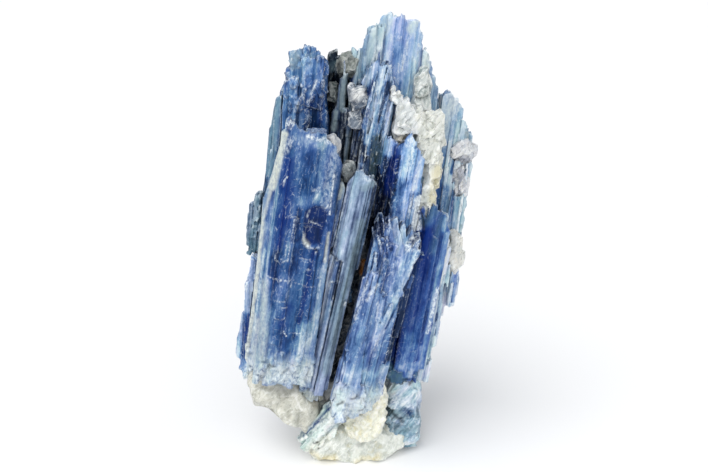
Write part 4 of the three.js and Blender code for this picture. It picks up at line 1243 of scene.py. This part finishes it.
# %% Foot
dress_blade(
    "foot_flake", 81, "24406e 7c8e98 aebcba d2dad2 eff1ea",
    tint="e4e4d0", tone=0.74, laths=(1.2, 8, 0.4), lean=14, crumbs=(120, (1, 16), (0.5, 1.7)), threads=0.4,
    strokes=(
        tone(0.1, 3, 0.1, 16, 0.25, 0, 0.25), royal(0.1, 8, 0.2, 14, 0.3, 0.4),
        frost(1.6, 3, 3, 13, 1.4, 0.45, 1.2), tint(3.6, 1, 4.4, 6, 1.6, 0.6, 0.8),
        ink(3, 3.6, 3.6, 4.2, 0.3, 0.7), ink(4.6, 11.6, 5.2, 13.6, 0.5, 0.4, 0.5),
    ),
)
dress_blade(
    "foot_mass", 82, "28404e 647f94 95adbf bdcfdb ecf2f4",
    grain=(0, 38, 0), tint="7c949c", tone=0.6, laths=(1.6, 14, 0.4), lean=8,
    bars=(50, (0.6, 1.8), (4, 12), (0.1, 0.6)), crumbs=(60, (2, 11), (0.6, 2.2)), threads=0.7,
    cuts=((0.788, 0.616, 16.6), (0.616, -0.788, 7), (0.975, 0.225, 17), (0.453, 0.891, 19.2)),
    strokes=(
        tone(2, 14, 8, 16, 3, 0.68, 1.4), tone(0.6, 13.4, 1.4, 11, 1.2, 0.85, 0.8),
        frost(2, 11, 6, 13, 1.4, 0.45, 1.2), tone(6.4, 10.8, 8.8, 11.4, 1, 0.2, 0.5),
        royal(7, 11, 8.4, 11.4, 0.7, 0.4, 0.5), tint(4.6, 8.8, 7.4, 9.6, 1, 0.8, 0.8),
        tint(9, 6, 13, 9, 0.8, 0.6, 0.6), tint(6, 5, 9, 6, 1, 0.6, 0.8), tone(13, 4, 16, 5, 1.4, 0.85, 1),
        ink(5.6, 8.4, 8, 9, 0.4, 0.7, 0.4), ink(3.4, 17.4, 4.2, 18.4, 0.3, 0.7),
    ),
)

# %% [markdown]
# ## The back
# The back isn't known. It could be left plain, but the specimen is turned in the hand. So it is dressed
# as blades of the same kind, a little coarser.

# %% Back
BACK = dict(voxel=0.36, laths=(2.0, 30, 0.45), bars=(50, (0.8, 2.2), (6, 26), (0.1, 0.6)))
dress_blade("rear_left_blades", 91, "122c58 42648f 6d8db2 9db4cc d3dee6", **BACK)
dress_blade("rear_middle_blades", 92, "0c2260 2e5090 587cae 8aa8cc cfdbe6", **BACK)
dress_blade("rear_right_blades", 93, "24447e 5f82ac 88a4c8 b0c4d8 e2eaf0", **BACK)
dress_blade("rear_low_blades", 94, "1c3a76 5475a4 829cbe b0c4d6 e2eaee", **BACK)

# %% [markdown]
# ## Quartz lumps
# Quartz breaks without cleavage, in flats and shallow shells, and here it grew in grains against the
# blades. Cutting it back with planes would leave gaps beside the blades. So each solid gets angular grains
# and blocks placed one by one, is melted to one skin and swollen a little to fill its place. Then every
# point moves onto the nearest of many small flats, which follow the surface but don't bend with it. A sole
# is a broken underside that slopes down to the back.

# %% The style of quartz
SOLE_SLOPE = 0.36  # down to the back
ROCK = dict(
    voxel=0.2, grains=(2, (1, 2)), posts=(), sole=None,  # grains: count, size; sole: (across, height)
    rounds=2, grow=0.3, flats=2.3, worn=0, bumps=0.04,  # smoothing, swelling, flats, smoothing again, bumps
    # ridges: frost and painted highlight on what stands out; dirt: painted shade in what lies deep
    ridges=0.45, dirt=0.1, strokes=(), clear=0.35, stained=0.25, veiled=0.7, grit=1,
)
print("a lump's values:", ", ".join(ROCK))

# %% Flats
FLAT_TILT = 0.16  # of a flat's direction, against the surface around it
FLAT_REACH = 0.6  # mm; how far a point moves onto its flat at most


def break_flats(mesh, places, normals, random, spacing, voxel):
    """Moves the surface onto flats about so many mm apart, each nearly square to the surface around it."""
    smooth = average_of(mesh, normals, 6)
    count = max(6, int(len(places) * voxel**2 / spacing**2))
    flats = random.integers(0, len(places), count)
    nearest = np.zeros(len(places), dtype=int)
    least = np.full(len(places), np.inf)
    for number, spot in enumerate(flats):
        distance = np.linalg.norm(places - places[spot], axis=1)
        nearest = np.where(distance < least, number, nearest)
        least = np.minimum(distance, least)
    outward = smooth[flats] + random.normal(0, FLAT_TILT, (count, 3))
    outward /= np.linalg.norm(outward, axis=1)[:, None]
    middles = places[flats] + outward * random.uniform(-0.2, 0.15, count)[:, None]
    off = ((middles[nearest] - places) * outward[nearest]).sum(axis=1)
    return places + outward[nearest] * np.clip(off, -FLAT_REACH, FLAT_REACH)[:, None]


print("a point moves onto its flat by", FLAT_REACH, "mm at most")


# %% Dressing quartz
def dress_quartz(node, seed, colours, **changes):
    """Dresses a lump. colours are its body, its shade and its stain; changes replace values of ROCK."""
    style = SimpleNamespace(**{**ROCK, **changes})
    bm = merged_copy(node)
    home = laid_out(bm, Matrix.Identity(3))
    surface = Surface(bm)
    random = np.random.default_rng(seed)
    count, size = style.grains
    strew_crumbs(bm, surface, random, count, (0, surface.high.z), size)
    stand_posts(bm, style.posts)
    mesh = skin(bm, style.voxel)
    places, normals = points_of(mesh)
    places = average_of(mesh, places, style.rounds) + normals * style.grow
    places = break_flats(mesh, places, normals, random, style.flats, style.voxel * COARSER)
    places = average_of(mesh, places, style.worn)
    x, y, z = places.T
    marks = no_marks(places)
    push = paint(marks, style.strokes, x, z, ramp(-normals[:, 1], -0.2, 0.3), seed + 40)
    coarse = wave(seed, x / 1.5, y / 1.5, z / 1.5)
    small = wave(seed + 9, x / 0.6, y / 0.6, z / 0.6)
    places = places + normals * (push + style.bumps * (coarse + 0.5 * small))[:, None]
    if style.sole:
        lowest = np.interp(x, *zip(*style.sole)) - SOLE_SLOPE * y + 0.3 * coarse
        places[:, 2] = np.maximum(places[:, 2], lowest)
    bend = bend_of(mesh, places, normals)
    # painted highlight and frost on the edges, painted shade in the hollows
    ridge_frost_glint_and_hollow_shade(marks, bend, (style.ridges, 0.06, 0.25), (style.dirt, 0.1, 0.4))
    finish_piece(node, mesh, places, marks, home, quartz(node, *colours.split(), style))


print("lumps are swollen by", ROCK["grow"], "mm, if a piece doesn't say otherwise")

# %% [markdown]
# ## The quartz pieces
# The quartz is cream and white at the upper right, smoky at the lower left, stained with cream or rust here
# and there, and painted dark grey as shade where little light gets in. Each lump could have a style of its
# own, but most differ only in shape and colour. So the open lumps share one style, the grains deep between
# the blades another, and a piece changes only what it has to.

# %% Open lumps
dress_quartz(
    "cream_quartz_vein", 101, "e6e7de c8cdc8 ddd6b4",
    posts=(
        (4.9, 2.4, 14, 28.6, 2.2, 3, 0.8, 3), (1.6, 2.2, 22, 29.6, 2.6, 3.4, 0.6, -12),
        (2.8, 2, 18, 25, 2, 2.6, 0.9, 10), (3.8, 1.6, 6.5, 15, 1.5, 2.2, 0.6, 3),
        (1.9, 2.6, 3.2, 12, 2.2, 2.4, 0.8, 5), (0.8, 2.4, 18.5, 23, 1.6, 2.6, 0.6, 6),
    ),
    strokes=(tint(5, 8, 6, 16, 1.4, 0.8, 1), ink(1, 14, 2, 15, 0.3, 0.3)),
)
dress_quartz(
    "upper_quartz", 102, "e9ecec c8d0d0 96825a",
    posts=(
        (1.7, 2.3, 2.6, 9.3, 3.2, 4.4, 0.6, 4), (3.6, 2.1, 2.4, 8.2, 2.4, 3.6, 0.6, -8),
        (1.3, 2.2, 0.5, 4.6, 1.4, 3, 0.8, -6), (-0.4, 2.8, 9, 12.8, 1.1, 1.4, 0.5, -14),
        (0.9, 2.8, 8.4, 11.6, 1, 1.4, 0.5, 12),
    ),
    strokes=(tint(0.3, 0.3, 1.8, 1.6, 1, 0.7, 0.8),),
)
dress_quartz(
    "crest_quartz", 103, "d6dbd8 98a5a4 66726a",
    posts=(
        (2.1, 1.8, 5.2, 9.9, 2.4, 2.8, 0.6, 8), (2.6, 1.6, 0.8, 6.4, 2, 2.6, 0.8, -8),
        (1.2, 1.6, 2.4, 6, 1.4, 2.2, 0.5, 5),
    ),
    strokes=(tint(2, 4, 3, 5, 0.8, 0.5, 0.6),),
)
dress_quartz(
    "centre_quartz", 104, "808d9d 46556a 35445c",
    posts=(
        (0.7, 1.6, 6, 10, 1.3, 2.4, 0.6, -18), (2.4, 1.4, 5.6, 9.6, 1.3, 2.2, 0.5, 22),
        (1.5, 1.6, 0.8, 8.2, 2.4, 2.6, 0.8, 4),
    ),
    strokes=(frost(1.2, 7.8, 2.6, 8.6, 1.2, 0.7, 0.8),),
)
dress_quartz(
    "right_quartz", 105, "dedee2 b2bac6 7c88a8", grow=0.15,
    posts=(
        (2, 2.2, 10.2, 14.6, 3.2, 3.2, 0.7, 24), (4, 2.6, 9.6, 13.6, 2.2, 3, 0.6, -16),
        (3.4, 3.4, 0.6, 8.4, 2.4, 2.2, 0.7, 3),
    ),
    strokes=(
        tint(1, 0, 3, 8.2, 2.4, 0.38, 0.6), frost(0.8, 8, 1.2, 2, 0.4, 0.8), ink(2, 2, 2.6, 6, 0.2, 0.3),
        frost(3.2, 1, 3.6, 8, 0.4, 0.8), step(0.6, 0, 3.4, 8.4, 2.8, -0.9, 0.6),
        frost(1.6, 11, 4.4, 12.6, 1.4, 0.5, 1.2),
    ),
)
dress_quartz("right_low_quartz", 106, "e4e2da c2c8c8 d4c8a8", grow=0.35)

# %% The foot of quartz
dress_quartz(
    "smoky_quartz", 107, "d2d1c5 b4b5aa 9c937f",
    voxel=0.24, clear=0.16, grow=0.4, rounds=8, grains=(4, (1.5, 3)), bumps=0.02, ridges=0, dirt=0, flats=4,
    worn=5, grit=0.3, veiled=0.5,
    sole=(
        (0, 11.6), (0.5, 10.8), (3.6, 10.5), (6.5, 8.9), (8.4, 7.5), (10.3, 5.8), (13.6, 2.3), (17.2, -1),
    ),
    strokes=(
        ink(7.2, 15.4, 12.2, 15.2, 1.1, 0.3, 1), ink(13.4, 14.6, 14.6, 12.4, 0.5, 0.25, 0.6),
        frost(8.6, 14, 11.6, 13.4, 0.18, 0.6), frost(11.6, 13.4, 13.4, 10.4, 0.22, 0.7),
        frost(12.2, 14.6, 12, 13.2, 0.3, 0.6), tint(16.2, 13, 17, 10, 0.9, 0.5, 0.8),
        step(8.6, 13.8, 13, 11.4, 0.5, -0.3, 0.5),
    ),
)
dress_quartz(
    "base_quartz", 108, "dee1d9 c0c6bf e2d08c",
    voxel=0.24, clear=0.12, grit=0.7, rounds=6, worn=1, bumps=0.1, ridges=0.15, dirt=0.05, flats=3.2,
    grains=(24, (1, 3)),
    strokes=(
        tint(3, 2.4, 8, 1.2, 1.3, 0.5, 1.2), tint(14, 0.6, 19, 1.6, 0.9, 0.4, 0.9),
        ink(14.2, 4.8, 15.2, 5.4, 0.5, 0.4, 0.5),
    ),
)
dress_quartz(
    "cream_quartz_foot", 109, "f2efdc dfe2d6 eadc9c",
    voxel=0.24, clear=0.15, worn=1, bumps=0.1, ridges=0.4, flats=1.2, grains=(140, (0.5, 1.5)),
    stained=0.45,
)

# %% Grains deep between the blades
# the dark greys of the grains in the slot and the crevice are painted shade
DEEP = dict(grains=(3, (0.8, 1.8)), flats=1.7, bumps=0.06, ridges=0.2, clear=0.05, veiled=0.25)
dress_quartz(
    "slot_quartz", 110, "8a908a 626a68 56564c", **DEEP,
    posts=((2, 1.9, 0.6, 4.6, 2.8, 3, 0.6, 12), (0.9, 1.8, 1, 3.6, 1.6, 2.6, 0.7, -14)),
    strokes=(ink(0.2, 0.6, 0.4, 3.6, 0.6, 0.8, 0.7), ink(0.6, 0.2, 3.4, 0.4, 0.6, 0.7, 0.8)),
)
dress_quartz(
    "slot_low_quartz", 111, "525c5c 2a3438 34322a", **DEEP,
    posts=((1.3, 1.8, 0.6, 4.2, 1.8, 2.6, 0.6, 8),),
)
# near-black as painted shade; its rust spot is a real stain
dress_quartz(
    "crevice_quartz", 112, "2e3b4a 161f2b 8a5510",
    voxel=0.24, grains=(8, (1.2, 2.4)), rounds=5, grow=0.4, flats=2.4, worn=1, ridges=0.05, bumps=0.2,
    clear=0.05, stained=0.02, veiled=0.16,
    strokes=(tint(10.3, 38.4, 10.7, 41, 0.8, 1, 0.4), frost(0.6, 4, 2.6, 9, 1.2, 0.3, 1.2)),
)
dress_quartz(
    "front_quartz_crust", 113, "b4b4b4 8a94a2 a0907c", **DEEP,
    posts=((1.4, 1.6, 0.6, 4, 2, 2.6, 0.6, -8),),
)
dress_quartz(
    "middle_quartz_grain", 114, "767e80 464e54 5c5850", **DEEP,
    posts=((1.4, 1.5, 0.4, 4.2, 1.7, 2.4, 0.5, 10),),
    strokes=(ink(0.6, 0.2, 2.2, 0.8, 0.9, 0.8, 1), ink(2.3, 1, 2.2, 3.6, 0.3, 0.6, 0.4)),
)

assert set(face_counts) == set(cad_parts)
print("faces in all:", sum(face_counts.values()), "most:", max(face_counts.values()))

# %% [markdown]
# ## Size
# The dressed specimen has to keep the size of the solids.
